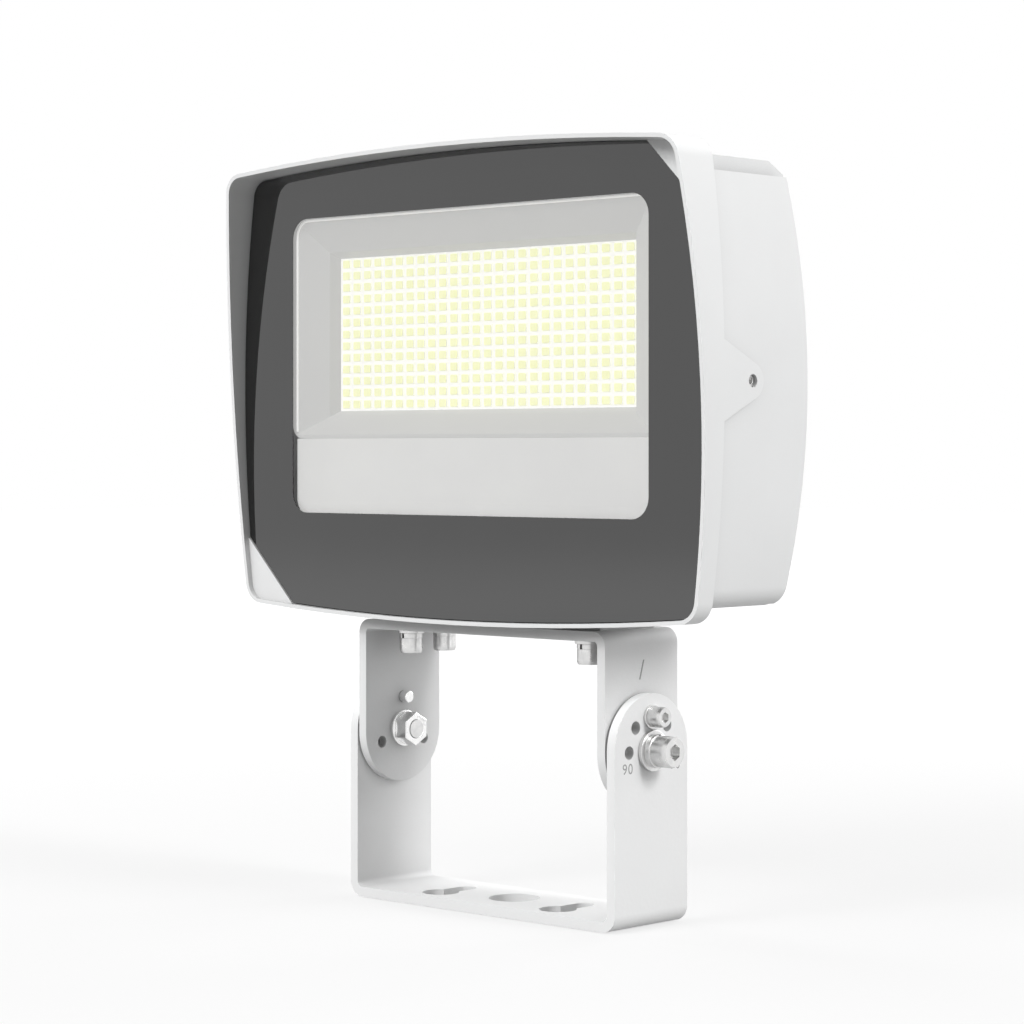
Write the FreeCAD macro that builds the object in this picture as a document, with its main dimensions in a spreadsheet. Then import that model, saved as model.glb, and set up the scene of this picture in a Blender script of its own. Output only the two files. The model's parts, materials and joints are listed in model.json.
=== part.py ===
# Flood light on a tilting yoke, modelled in millimetres.
# The origin is the centre of the yoke's middle hole on the underside of its base.
# +Z is up, the lamp shines towards -Y, and +X is on the right of someone facing the glass.
import FreeCAD, Part
import math
import os
import Sketcher

doc = FreeCAD.newDocument("FloodLight")
sheet = doc.addObject("Spreadsheet::Sheet", "Sizes")

drivingSizes = [
    # Yoke: a folded steel strip with a hole pattern in its base
    ("yokeWidth", 154.9), ("yokeStrip", 46), ("yokePlate", 4.3), ("yokeBend", 7),
    ("pivotHeight", 73), ("plateOverhang", 23.5),
    ("centreHole", 22.2), ("keyholeSpacing", 69), ("keyholeHead", 16), ("keyholeNeck", 9),
    ("keyholeFront", 10), ("keyholeBack", 6),
    ("indexRadius", 14), ("indexHole", 5.5),
    # Upper bracket: a folded strip inside the yoke's arms
    ("bracketPlate", 4.3), ("bracketBend", 6), ("bracketRise", 49.5), ("plateGap", 1),
    ("bracketScrewInset", 15.5), ("bracketScrewsDeep", 21),
    ("tickLength", 8), ("tickWidth", 0.8), ("tickDepth", 0.4), ("tickRise", 33), ("tickLean", 2.5),
    # Pivot bolts with their washers and nuts
    ("pivotBolt", 8), ("pivotRunning", 0.06), ("boltClearance", 0.25), ("threadClearance", 0.05),
    ("pivotHead", 13), ("pivotHeadHigh", 8), ("pivotSocket", 6), ("pivotSocketDeep", 4),
    ("pivotWasher", 17), ("pivotWasherThick", 1.8), ("pivotSpring", 14), ("pivotSpringThick", 2.8),
    ("nutFlats", 13), ("nutHigh", 6.8), ("innerWasher", 16), ("innerWasherThick", 1.6),
    ("boltEndProud", 0.3), ("bearingWasher", 20), ("springSlit", 1.2),
    # Lock screws and the index pins that face them
    ("lockScrew", 5), ("lockHead", 8.5), ("lockHeadHigh", 5), ("lockSocket", 4), ("lockSocketDeep", 2.6),
    ("lockWasher", 10), ("lockWasherThick", 1), ("lockSpring", 8.6), ("lockSpringThick", 1.4),
    ("lockTipSetback", 0.4), ("indexPin", 5.2), ("indexPinFit", 0.02), ("indexPinProud", 4.2),
    # Screws between the upper bracket and the housing
    ("bracketScrew", 6), ("bracketHead", 10), ("bracketHeadHigh", 6.4), ("bracketSocket", 5),
    ("bracketSocketDeep", 3), ("bracketWasher", 12), ("bracketWasherThick", 1.8),
    ("bracketSpring", 10.2), ("bracketSpringThick", 2.2), ("bracketScrewGrip", 9),
    # Front frame: a bowed rim whose hood leans forward at the top
    ("padHigh", 6.3), ("rimWidth", 276), ("rimHeight", 202), ("rimWall", 1.7), ("rimCorner", 10),
    ("sideBow", 640), ("endBow", 1500),
    ("rimBack", 27), ("hoodTop", 50.3), ("hoodMiddle", 40), ("hoodBottom", 36.2),
    ("webThick", 1.7), ("webWide", 12), ("cornerCut", 39.4), ("cornerPlateFront", 34),
    ("earHalf", 16.8), ("earApex", 34), ("earTip", 7.2), ("earHole", 5.3), ("earHoleBack", 9.3),
    ("earFit", 0.15), ("earScrew", 5), ("earScrewSunk", 1.4), ("earScrewLong", 9), ("earScrewSocket", 2.5),
    # Glass with a printed border
    ("sealThick", 1), ("glassThick", 2.8), ("maskThick", 0.3), ("glassGap", 0.4),
    ("borderSide", 33.75), ("borderLow", 46), ("borderHigh", 25.7), ("windowCorner", 9),
    # Reflector tray, lamp board and lower panel behind the window
    ("trayPast", 2), ("trayPastHigh", 1.2), ("trayPanelGap", 0.1), ("trayCorner", 6), ("trayGap", 0.3),
    ("flareDeep", 7.1), ("trayDeep", 11.6), ("boardThick", 1.6),
    ("bevelSide", 16.4), ("bevelBelow", 9.6), ("bevelAbove", 16.1), ("wallDraft", 2.6), ("bevelEdge", 1.6),
    ("boardPast", 4.7), ("chipEdgeSide", 1.8), ("chipEdgeLow", 1.25), ("chipEdgeHigh", 0.95),
    ("chipWide", 4.2), ("chipHigh", 3.3), ("chipThick", 0.6), ("chipColumns", 26), ("chipRows", 13),
    ("panelShort", 0.75), ("panelPastLow", 2.5), ("panelTall", 35.3), ("panelThick", 2), ("panelCorner", 9),
    ("panelPost", 6), ("panelPostInset", 6.5),
    ("boardScrew", 3), ("boardScrewHead", 5.5), ("boardScrewHeadHigh", 1.3), ("boardScrewLong", 4.5),
    ("boardScrewEdge", 3.5),
    # Rear housing with cooling fins
    ("bodyInset", 2.6), ("bodyInsetEnds", 5.8), ("bodyCorner", 9), ("bodyWall", 4.4), ("bodyRim", 2.4),
    ("shoulderBelow", 5.5), ("shoulderAbove", 12.2), ("crownInset", 11.4), ("finRear", 28),
    ("crownSlope", 20), ("crownDrop", 10.5), ("sideRear", 29.5), ("sideBulge", 490),
    ("finThick", 2.5), ("finGaps", 16), ("finRootUpper", 12), ("finRootLower", 12), ("sidePanel", 4),
    ("bayInset", 13.5), ("bayRise", 3.7), ("bayTall", 67), ("bayFloor", 8),
    ("padMargin", 12), ("padMarginDeep", 6.5),
    ("gasketThick", 0.5), ("gasketInset", 0.6), ("gasketWide", 1.5),
    # Driver and its fixings
    ("driverSideGap", 15), ("driverRise", 5), ("driverTall", 36), ("driverProud", 1.5), ("driverTab", 9),
    ("driverTabThick", 3), ("driverScrew", 4), ("driverScrewHead", 7), ("driverScrewHeadHigh", 2.6),
    ("driverScrewGrip", 3), ("leadThick", 1.4), ("leadSpacing", 8),
    # Cable gland and breather on the back
    ("glandRise", 53), ("glandBoss", 30), ("glandThread", 20), ("glandFlats", 24), ("glandHexThick", 6),
    ("glandNut", 23), ("glandNutTip", 18), ("glandNutLong", 14), ("cordBore", 9), ("sealBore", 9.4),
    ("glandSealOuter", 15), ("sealSlack", 0.1), ("ventAcross", 60), ("ventBoss", 20), ("ventThread", 12),
    ("ventCap", 16), ("ventCapThick", 4),
    # Distance that a cutting tool runs past the face it cuts
    ("pastFace", 1),
]


# A length that knows its value and the sheet expression it came from
class Size:
    def __init__(self, value, text):
        self.value = float(value)
        self.text = text

    def join(self, other, sign, value, turned=False):
        text = other.text if isinstance(other, Size) else repr(float(other))
        first, second = (text, self.text) if turned else (self.text, text)
        return Size(value, f"({first} {sign} {second})")

    def __add__(self, other):
        return self.join(other, "+", self.value + number(other))

    def __radd__(self, other):
        return self.join(other, "+", number(other) + self.value, True)

    def __sub__(self, other):
        return self.join(other, "-", self.value - number(other))

    def __rsub__(self, other):
        return self.join(other, "-", number(other) - self.value, True)

    def __mul__(self, other):
        return self.join(other, "*", self.value * number(other))

    def __rmul__(self, other):
        return self.join(other, "*", number(other) * self.value, True)

    def __truediv__(self, other):
        return self.join(other, "/", self.value / number(other))

    def __neg__(self):
        return Size(-self.value, f"(-1 * {self.text})")


def number(size):
    return size.value if isinstance(size, Size) else float(size)


class Sizes:
    pass


d = Sizes()
for row, (alias, value) in enumerate(drivingSizes, start=1):
    sheet.set(f"A{row}", alias)
    sheet.set(f"B{row}", str(value))
    sheet.setAlias(f"B{row}", alias)
    setattr(d, alias, Size(value, f"Sizes.{alias}"))
doc.recompute()

axisTurn = {
    "X": FreeCAD.Rotation(FreeCAD.Vector(0, 1, 0), 90),
    "Y": FreeCAD.Rotation(FreeCAD.Vector(1, 0, 0), -90),
    "Z": FreeCAD.Rotation(),
}
planeAxis = {"XY_Plane": 2, "XZ_Plane": 1, "YZ_Plane": 0}


# Bindings and plain solids
def bind(thing, prop, size):
    thing.setExpression(prop, size.text if isinstance(size, Size) else repr(float(size)))


def put(thing, corner, turn=None):
    base = FreeCAD.Vector(*[number(c) for c in corner])
    thing.Placement = FreeCAD.Placement(base, turn or FreeCAD.Rotation())
    for letter, coordinate in zip("xyz", corner):
        bind(thing, f"Placement.Base.{letter}", coordinate)
    return thing


def box(name, xSpan, ySpan, zSpan):
    thing = doc.addObject("Part::Box", name)
    for prop, (low, high) in zip(("Length", "Width", "Height"), (xSpan, ySpan, zSpan)):
        bind(thing, prop, high - low)
    return put(thing, (xSpan[0], ySpan[0], zSpan[0]))


def rod(name, axis, diameter, start, length):
    thing = doc.addObject("Part::Cylinder", name)
    bind(thing, "Radius", diameter / 2)
    bind(thing, "Height", length)
    return put(thing, start, axisTurn[axis])


def hexRod(name, axis, flats, start, length):
    thing = doc.addObject("Part::Prism", name)
    thing.Polygon = 6
    bind(thing, "Circumradius", flats / math.sqrt(3))
    bind(thing, "Height", length)
    return put(thing, start, axisTurn[axis])


def cone(name, axis, nearDiameter, farDiameter, start, length):
    thing = doc.addObject("Part::Cone", name)
    bind(thing, "Radius1", nearDiameter / 2)
    bind(thing, "Radius2", farDiameter / 2)
    bind(thing, "Height", length)
    return put(thing, start, axisTurn[axis])


def frustum(name, ySpan, nearX, nearZ, farX, farZ):
    thing = doc.addObject("Part::Wedge", name)
    values = {
        "Xmin": nearX[0], "Xmax": nearX[1], "Zmin": nearZ[0], "Zmax": nearZ[1],
        "X2min": farX[0], "X2max": farX[1], "Z2min": farZ[0], "Z2max": farZ[1],
        "Ymin": ySpan[0], "Ymax": ySpan[1],
    }
    for prop, size in values.items():
        setattr(thing, prop, number(size))
        bind(thing, prop, size)
    return thing


def fuse(name, *pieces):
    thing = doc.addObject("Part::MultiFuse", name)
    thing.Shapes = list(pieces)
    return thing


def common(name, *pieces):
    thing = doc.addObject("Part::MultiCommon", name)
    thing.Shapes = list(pieces)
    return thing


def cut(name, base, *tools):
    thing = doc.addObject("Part::Cut", name)
    thing.Base = base
    thing.Tool = tools[0] if len(tools) == 1 else fuse(name + "Tools", *tools)
    return thing


def mirrored(name, source, normal):
    thing = doc.addObject("Part::Mirroring", name)
    thing.Source = source
    thing.Normal = FreeCAD.Vector(*normal)
    return thing


def group(name, *pieces):
    thing = doc.addObject("Part::Compound", name)
    thing.Links = list(pieces)
    return thing


def leftAndRight(name, piece):
    return group(name, piece, mirrored(name + "Left", piece, (1, 0, 0)))


def ring(name, axis, outer, inner, start, length):
    along = "XYZ".index(axis)
    past = [d.pastFace if i == along else 0 for i in range(3)]
    boreStart = [s - p for s, p in zip(start, past)]
    bore = rod(name + "Bore", axis, inner, boreStart, length + d.pastFace * 2)
    return cut(name, rod(name + "Disc", axis, outer, start, length), bore)


def roundEdges(name, source, radius, wanted):
    doc.recompute()
    thing = doc.addObject("Part::Fillet", name)
    thing.Base = source
    chosen = [i for i, edge in enumerate(source.Shape.Edges, start=1) if wanted(edge)]
    thing.Edges = [(i, number(radius), number(radius)) for i in chosen]
    return thing


def runsAlongY(edge):
    ends = [vertex.Point for vertex in edge.Vertexes]
    return len(ends) == 2 and abs(ends[0].x - ends[1].x) + abs(ends[0].z - ends[1].z) < 1e-6


# Sketched bodies
def sketchedPad(name, plane, start, length, draw):
    body = doc.addObject("PartDesign::Body", name)
    sketch = body.newObject("Sketcher::SketchObject", name + "Outline")
    support = [f for f in body.Origin.OriginFeatures if f.Role == plane][0]
    sketch.AttachmentSupport = [(support, "")]
    sketch.MapMode = "FlatFace"
    draw(sketch)
    pad = body.newObject("PartDesign::Pad", name + "Pad")
    pad.Profile = sketch
    pad.Length = number(length)
    bind(pad, "Length", length)
    corner = [0, 0, 0]
    corner[planeAxis[plane]] = start
    return put(body, corner)


def fix(sketch, kind, where, size):
    index = sketch.addConstraint(Sketcher.Constraint(kind, -1, 1, *where, number(size)))
    bind(sketch, f"Constraints[{index}]", size)


def fixRadius(sketch, item, size):
    index = sketch.addConstraint(Sketcher.Constraint("Radius", item, number(size)))
    bind(sketch, f"Constraints[{index}]", size)


def polygon(points):
    def draw(sketch):
        flat = [FreeCAD.Vector(number(u), number(v), 0) for u, v in points]
        count = len(points)
        for i in range(count):
            sketch.addGeometry(Part.LineSegment(flat[i], flat[(i + 1) % count]), False)
        for i in range(count):
            sketch.addConstraint(Sketcher.Constraint("Coincident", i, 2, (i + 1) % count, 1))
        for i, (u, v) in enumerate(points):
            fix(sketch, "DistanceX", (i, 1), u)
            fix(sketch, "DistanceY", (i, 1), v)
    return draw


def rectangle(half, low, high):
    return polygon([(-half, low), (half, low), (half, high), (-half, high)])


def arcBetween(centre, start, end):
    begin = math.atan2(start.y - centre.y, start.x - centre.x)
    finish = math.atan2(end.y - centre.y, end.x - centre.x)
    circle = Part.Circle(centre, FreeCAD.Vector(0, 0, 1), (start - centre).Length)
    return Part.ArcOfCircle(circle, begin, finish)


# The centre of a corner arc that touches two bowed sides from inside
def cornerHub(first, firstReach, second, secondReach):
    across = second - first
    span = across.Length
    along = (firstReach ** 2 - secondReach ** 2 + span ** 2) / (2 * span)
    aside = math.sqrt(firstReach ** 2 - along ** 2)
    unit = across / span
    normal = FreeCAD.Vector(-unit.y, unit.x, 0)
    options = [first + unit * along + normal * side for side in (aside, -aside)]
    middle = FreeCAD.Vector(0, number(headCentre), 0)
    wanted = middle - (first + second) / 2
    return max(options, key=lambda point: (point - middle).dot(wanted))


# A rectangle with bowed sides and rounded corners
def bowed(half, low, high, corner):
    middle = (low + high) / 2
    centres = [
        (0, low + d.endBow), (half - d.sideBow, middle),
        (0, high - d.endBow), (d.sideBow - half, middle),
    ]
    radii = [d.endBow, d.sideBow, d.endBow, d.sideBow]

    def draw(sketch):
        hub = [FreeCAD.Vector(number(u), number(v), 0) for u, v in centres]
        reach = [number(r) - number(corner) for r in radii]
        turn = [cornerHub(hub[i], reach[i], hub[(i + 1) % 4], reach[(i + 1) % 4]) for i in range(4)]
        for i in range(4):
            before = turn[(i + 3) % 4]
            after = turn[i]
            following = hub[(i + 1) % 4]
            first = hub[i] + (before - hub[i]).normalize() * number(radii[i])
            last = hub[i] + (after - hub[i]).normalize() * number(radii[i])
            onward = following + (after - following).normalize() * number(radii[(i + 1) % 4])
            sketch.addGeometry(arcBetween(hub[i], first, last), False)
            sketch.addGeometry(arcBetween(after, last, onward), False)
        for i in range(8):
            sketch.addConstraint(Sketcher.Constraint("Tangent", i, 2, (i + 1) % 8, 1))
        for i in range(4):
            fix(sketch, "DistanceX", (2 * i, 3), centres[i][0])
            fix(sketch, "DistanceY", (2 * i, 3), centres[i][1])
            fixRadius(sketch, 2 * i, radii[i])
            fixRadius(sketch, 2 * i + 1, corner)
    return draw


# A strip outline on the YZ plane with one half-round end
def roundEnded(half, square, centre):
    def draw(sketch):
        side = number(half)
        base = number(square)
        hub = number(centre)
        up = 1 if hub > base else -1
        corners = [FreeCAD.Vector(up * side, hub, 0), FreeCAD.Vector(up * side, base, 0)]
        corners += [FreeCAD.Vector(-up * side, base, 0), FreeCAD.Vector(-up * side, hub, 0)]
        for i in range(3):
            sketch.addGeometry(Part.LineSegment(corners[i], corners[i + 1]), False)
        sketch.addGeometry(arcBetween(FreeCAD.Vector(0, hub, 0), corners[0], corners[3]), False)
        for i in range(2):
            sketch.addConstraint(Sketcher.Constraint("Coincident", i, 2, i + 1, 1))
        sketch.addConstraint(Sketcher.Constraint("Coincident", 0, 1, 3, 1))
        sketch.addConstraint(Sketcher.Constraint("Coincident", 2, 2, 3, 2))
        spots = (((0, 1), half * up, centre), ((1, 1), half * up, square), ((2, 1), half * -up, square))
        for spot, u, v in spots:
            fix(sketch, "DistanceX", spot, u)
            fix(sketch, "DistanceY", spot, v)
        fix(sketch, "DistanceX", (3, 3), 0)
        fix(sketch, "DistanceY", (3, 3), centre)
        fix(sketch, "DistanceY", (2, 2), centre)
    return draw


nodes = {}


def keep(node, thing):
    thing.Label = node
    nodes[node] = thing
    return thing


# Places shared by the pieces
yokeHalf = d.yokeWidth / 2
yokeInner = yokeHalf - d.yokePlate
stripHalf = d.yokeStrip / 2
bracketOuter = yokeInner - d.plateGap
bracketInner = bracketOuter - d.bracketPlate
bracketTop = d.pivotHeight + d.bracketRise
bracketUnder = bracketTop - d.bracketPlate
screwX = bracketInner - d.bracketScrewInset
screwY = -d.bracketScrewsDeep / 2
lockHeight = d.pivotHeight + d.indexRadius

# The housing's pad stands on the bracket, and the rim reaches a little below the housing
bodyLow = bracketTop + d.padHigh
rimLow = bodyLow - d.bodyInsetEnds
rimHigh = rimLow + d.rimHeight
headCentre = rimLow + d.rimHeight / 2
bodyHigh = rimHigh - d.bodyInsetEnds
rimHalf = d.rimWidth / 2
bodyHalf = rimHalf - d.bodyInset
shoulderLow = bodyLow + d.shoulderBelow
shoulderHigh = bodyHigh - d.shoulderAbove
crownHalf = bodyHalf - d.crownInset
webBack = d.rimBack + d.gasketThick
webFront = webBack + d.webThick
glassBack = webFront + d.sealThick
glassFront = glassBack + d.glassThick
maskFront = glassFront + d.maskThick

# The window in the printed border, and what is seen through it
windowHalf = rimHalf - d.borderSide
windowLow = rimLow + d.borderLow
windowHigh = rimHigh - d.borderHigh
panelHalf = windowHalf - d.panelShort
panelLow = windowLow - d.panelPastLow
panelHigh = panelLow + d.panelTall
trayHalf = windowHalf + d.trayPast
trayLow = panelHigh + d.trayPanelGap
trayHigh = windowHigh + d.trayPastHigh
trayFront = glassBack - d.trayGap
trayStep = trayFront - d.flareDeep
bevelHalf = trayHalf - d.bevelSide
bevelLow = trayLow + d.bevelBelow
bevelHigh = trayHigh - d.bevelAbove
boardFront = trayFront - d.trayDeep
boardBack = boardFront - d.boardThick
boardHalf = bevelHalf + d.boardPast
boardLow = bevelLow - d.boardPast
boardHigh = bevelHigh + d.boardPast

# The bay behind the lower panel
bayHalf = panelHalf - d.bayInset
bayLow = shoulderLow + d.bayRise
bayHigh = bayLow + d.bayTall
driverHalf = bayHalf - d.driverSideGap
driverLow = bayLow + d.driverRise
driverHigh = driverLow + d.driverTall
glandHeight = bayLow + d.glandRise


# Folded strips
def foldedStrip(name, half, plate, bend, web, end, up):
    inside = web + plate * up
    points = [
        (-half, web), (half, web), (half, end), (half - plate, end),
        (half - plate, inside), (plate - half, inside), (plate - half, end), (-half, end),
    ]
    body = sketchedPad(name, "XZ_Plane", stripHalf, d.yokeStrip, polygon(points))
    doc.recompute()
    for label, level, radius in (("Outer", web, bend), ("Inner", inside, bend - plate)):
        edges = []
        for i, edge in enumerate(body.Tip.Shape.Edges, start=1):
            if runsAlongY(edge) and abs(edge.Vertexes[0].Z - number(level)) < 1e-4:
                edges.append(f"Edge{i}")
        base = body.Tip
        bendRound = body.newObject("PartDesign::Fillet", f"{name}{label}Bend")
        bendRound.Base = (base, edges)
        bendRound.Radius = number(radius)
        bind(bendRound, "Radius", radius)
        body.Tip = bendRound
        doc.recompute()
    return body


def acrossX(name, diameter, y, z):
    return rod(name, "X", diameter, (-yokeHalf - d.pastFace, y, z), d.yokeWidth + d.pastFace * 2)


def onIndexCircle(degrees):
    angle = math.radians(degrees)
    return d.indexRadius * math.sin(angle), d.pivotHeight + d.indexRadius * math.cos(angle)


def keyhole(name, side):
    x = d.keyholeSpacing / 2 * side
    under = -d.pastFace
    through = d.yokePlate + d.pastFace * 2
    head = rod(name + "Head", "Z", d.keyholeHead, (x, -d.keyholeFront, under), through)
    neck = rod(name + "Neck", "Z", d.keyholeNeck, (x, d.keyholeBack, under), through)
    neckHalf = d.keyholeNeck / 2
    slot = box(name + "Slot", (x - neckHalf, x + neckHalf), (-d.keyholeFront, d.keyholeBack),
               (under, under + through))
    return fuse(name, head, neck, slot)


# Yoke bracket
armCentre = d.pivotHeight + d.plateOverhang - stripHalf
yokeEnd = d.pivotHeight + d.plateOverhang + d.pastFace
yokeFold = foldedStrip("YokeFold", yokeHalf, d.yokePlate, d.yokeBend, 0, yokeEnd, 1)
armOutline = sketchedPad("ArmOutline", "YZ_Plane", -yokeHalf - d.pastFace, d.yokeWidth + d.pastFace * 2,
                         roundEnded(stripHalf, -d.pastFace, armCentre))
yokeHoles = [rod("CentreHole", "Z", d.centreHole, (0, 0, -d.pastFace), d.yokePlate + d.pastFace * 2)]
yokeHoles += [keyhole("KeyholeRight", 1), keyhole("KeyholeLeft", -1)]
yokeHoles.append(acrossX("YokePivotHole", d.pivotBolt + d.boltClearance * 2, 0, d.pivotHeight))
for turn in (-90, -45, 0, 45, 90):
    y, z = onIndexCircle(turn)
    yokeHoles.append(acrossX(f"YokeIndexHole{turn + 90}", d.indexHole, y, z))
keep("yoke_bracket", cut("YokeBracket", common("YokeBlank", yokeFold, armOutline), *yokeHoles))

# Upper bracket, with a slanted index line above each lock screw
legCentre = d.pivotHeight - d.plateOverhang + stripHalf
legEnd = d.pivotHeight - d.plateOverhang - d.pastFace
bracketFold = foldedStrip("BracketFold", bracketOuter, d.bracketPlate, d.bracketBend,
                          bracketTop, legEnd, -1)
legOutline = sketchedPad("LegOutline", "YZ_Plane", -yokeHalf, d.yokeWidth,
                         roundEnded(stripHalf, bracketTop + d.pastFace, legCentre))
bracketHoles = [acrossX("BracketPivotHole", d.pivotBolt + d.pivotRunning * 2, 0, d.pivotHeight)]
for turn in (-112.5, 0, 112.5):
    y, z = onIndexCircle(turn)
    bracketHoles.append(acrossX(f"BracketIndexHole{int(turn + 113)}", d.indexPin, y, z))
for side in (-1, 1):
    for end in (-1, 1):
        spot = (screwX * side, screwY * end, bracketUnder - d.pastFace)
        bracketHoles.append(rod(f"BracketScrewHole{side + 1}{end + 1}", "Z",
                                d.bracketScrew + d.boltClearance * 2, spot, d.bracketPlate + d.pastFace * 2))
tickHalf = d.tickWidth / 2
tickShift = d.tickLean / 2
tickLow = d.pivotHeight + d.tickRise - d.tickLength / 2
tickHigh = tickLow + d.tickLength
tickPoints = [(-tickShift - tickHalf, tickLow), (tickHalf - tickShift, tickLow),
              (tickShift + tickHalf, tickHigh), (tickShift - tickHalf, tickHigh)]
tick = sketchedPad("TickMark", "YZ_Plane", bracketOuter - d.tickDepth, d.tickDepth + d.pastFace,
                   polygon(tickPoints))
bracketHoles += [tick, mirrored("TickMarkLeft", tick, (1, 0, 0))]
keep("upper_bracket", cut("UpperBracket", common("BracketBlank", bracketFold, legOutline), *bracketHoles))


# Socket screws point along -X, with the head's outer face furthest out
def socketScrewX(name, thread, head, headHigh, socket, socketDeep, seat, tip, z):
    shank = rod(name + "Shank", "X", thread, (tip, 0, z), seat - tip)
    cap = rod(name + "Cap", "X", head, (seat, 0, z), headHigh)
    drive = hexRod(name + "Drive", "X", socket, (seat + headHigh - socketDeep, 0, z), socketDeep + d.pastFace)
    return cut(name, fuse(name + "Blank", shank, cap), drive)


# A spring washer is a ring with a slit at its top
def springWasherX(name, outer, inner, start, thick, z):
    disc = ring(name + "Ring", "X", outer, inner, (start, 0, z), thick)
    slit = box(name + "Slit", (start - d.pastFace, start + thick + d.pastFace),
               (-d.springSlit / 2, d.springSlit / 2), (z, z + outer))
    return cut(name, disc, slit)


# Pivot bolts, washers and nuts
pivotBore = d.pivotBolt + d.boltClearance * 2
washerOut = yokeHalf + d.pivotWasherThick
boltSeat = washerOut + d.pivotSpringThick
nutSeat = bracketInner - d.innerWasherThick
nutEnd = nutSeat - d.nutHigh
bolt = socketScrewX("PivotBolt", d.pivotBolt, d.pivotHead, d.pivotHeadHigh, d.pivotSocket, d.pivotSocketDeep,
                    boltSeat, nutEnd - d.boltEndProud, d.pivotHeight)
keep("pivot_bolts", leftAndRight("PivotBolts", bolt))
keep("pivot_flat_washers", leftAndRight("PivotFlatWashers", ring(
    "PivotFlatWasher", "X", d.pivotWasher, pivotBore, (yokeHalf, 0, d.pivotHeight), d.pivotWasherThick)))
keep("pivot_spring_washers", leftAndRight("PivotSpringWashers", springWasherX(
    "PivotSpringWasher", d.pivotSpring, pivotBore, washerOut, d.pivotSpringThick, d.pivotHeight)))
keep("pivot_bearing_washers", leftAndRight("PivotBearingWashers", ring(
    "PivotBearingWasher", "X", d.bearingWasher, pivotBore, (bracketOuter, 0, d.pivotHeight), d.plateGap)))
keep("pivot_inner_washers", leftAndRight("PivotInnerWashers", ring(
    "PivotInnerWasher", "X", d.innerWasher, pivotBore, (nutSeat, 0, d.pivotHeight), d.innerWasherThick)))
nutBlank = hexRod("PivotNutBlank", "X", d.nutFlats, (nutEnd, 0, d.pivotHeight), d.nutHigh)
nutThread = rod("PivotNutThread", "X", d.pivotBolt + d.threadClearance * 2,
                (nutEnd - d.pastFace, 0, d.pivotHeight), d.nutHigh + d.pastFace * 2)
keep("pivot_nuts", leftAndRight("PivotNuts", cut("PivotNut", nutBlank, nutThread)))

# Lock screws, each with its flat and spring washers, and the pins in the bracket legs behind them
lockBore = d.lockScrew + d.boltClearance * 2
lockWasherOut = yokeHalf + d.lockWasherThick
lockSeat = lockWasherOut + d.lockSpringThick
lockRight = socketScrewX("LockScrew", d.lockScrew, d.lockHead, d.lockHeadHigh, d.lockSocket, d.lockSocketDeep,
                         lockSeat, yokeInner + d.lockTipSetback, lockHeight)
lockFlat = ring("LockFlatWasher", "X", d.lockWasher, lockBore, (yokeHalf, 0, lockHeight), d.lockWasherThick)
lockSplit = springWasherX("LockSpringWasher", d.lockSpring, lockBore, lockWasherOut, d.lockSpringThick,
                          lockHeight)
lockWashers = group("LockWashers", lockFlat, lockSplit)
keep("lock_screw_right", lockRight)
keep("lock_washers_right", lockWashers)
keep("lock_screw_left", mirrored("LockScrewLeft", lockRight, (1, 0, 0)))
keep("lock_washers_left", mirrored("LockWashersLeft", lockWashers, (1, 0, 0)))
pin = rod("IndexPin", "X", d.indexPin - d.indexPinFit * 2, (bracketInner - d.indexPinProud, 0, lockHeight),
          d.indexPinProud + d.bracketPlate)
keep("index_pins", leftAndRight("IndexPins", pin))


# Pieces that repeat at the four bracket screws
def atFourCorners(name, piece):
    pair = group(name + "Pair", piece, mirrored(name + "Behind", piece, (0, 1, 0)))
    return leftAndRight(name, pair)


screwBore = d.bracketScrew + d.boltClearance * 2
bracketWasherUnder = bracketUnder - d.bracketWasherThick
screwSeat = bracketWasherUnder - d.bracketSpringThick
screwCap = rod("BracketScrewCap", "Z", d.bracketHead, (screwX, screwY, screwSeat - d.bracketHeadHigh),
               d.bracketHeadHigh)
screwShank = rod("BracketScrewShank", "Z", d.bracketScrew, (screwX, screwY, screwSeat),
                 bracketTop + d.bracketScrewGrip - screwSeat)
screwDrive = hexRod("BracketScrewDrive", "Z", d.bracketSocket,
                    (screwX, screwY, screwSeat - d.bracketHeadHigh - d.pastFace),
                    d.bracketSocketDeep + d.pastFace)
keep("bracket_screws", atFourCorners("BracketScrews", cut(
    "BracketScrew", fuse("BracketScrewBlank", screwCap, screwShank), screwDrive)))
keep("bracket_flat_washers", atFourCorners("BracketFlatWashers", ring(
    "BracketFlatWasher", "Z", d.bracketWasher, screwBore, (screwX, screwY, bracketWasherUnder),
    d.bracketWasherThick)))
springRing = ring("BracketSpringRing", "Z", d.bracketSpring, screwBore, (screwX, screwY, screwSeat),
                  d.bracketSpringThick)
springGap = box("BracketSpringGap", (screwX - d.springSlit / 2, screwX + d.springSlit / 2),
                (screwY - d.bracketSpring, screwY), (screwSeat - d.pastFace, bracketUnder))
keep("bracket_spring_washers", atFourCorners("BracketSpringWashers", cut(
    "BracketSpringWasher", springRing, springGap)))


# Bowed plates of the head, between two depths in front of the pivot, set in from the rim's outline
def bowedPlate(name, inset, front, back, corner=None):
    rounding = d.rimCorner - inset if corner is None else corner
    outline = bowed(rimHalf - inset, rimLow + inset, rimHigh - inset, rounding)
    return sketchedPad(name, "XZ_Plane", -back, front - back, outline)


# Bowed plates of the housing, set in from its sides and given their own ends
def bodyPlate(name, sideInset, low, high, front, back, corner):
    return sketchedPad(name, "XZ_Plane", -back, front - back, bowed(bodyHalf - sideInset, low, high, corner))


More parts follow.
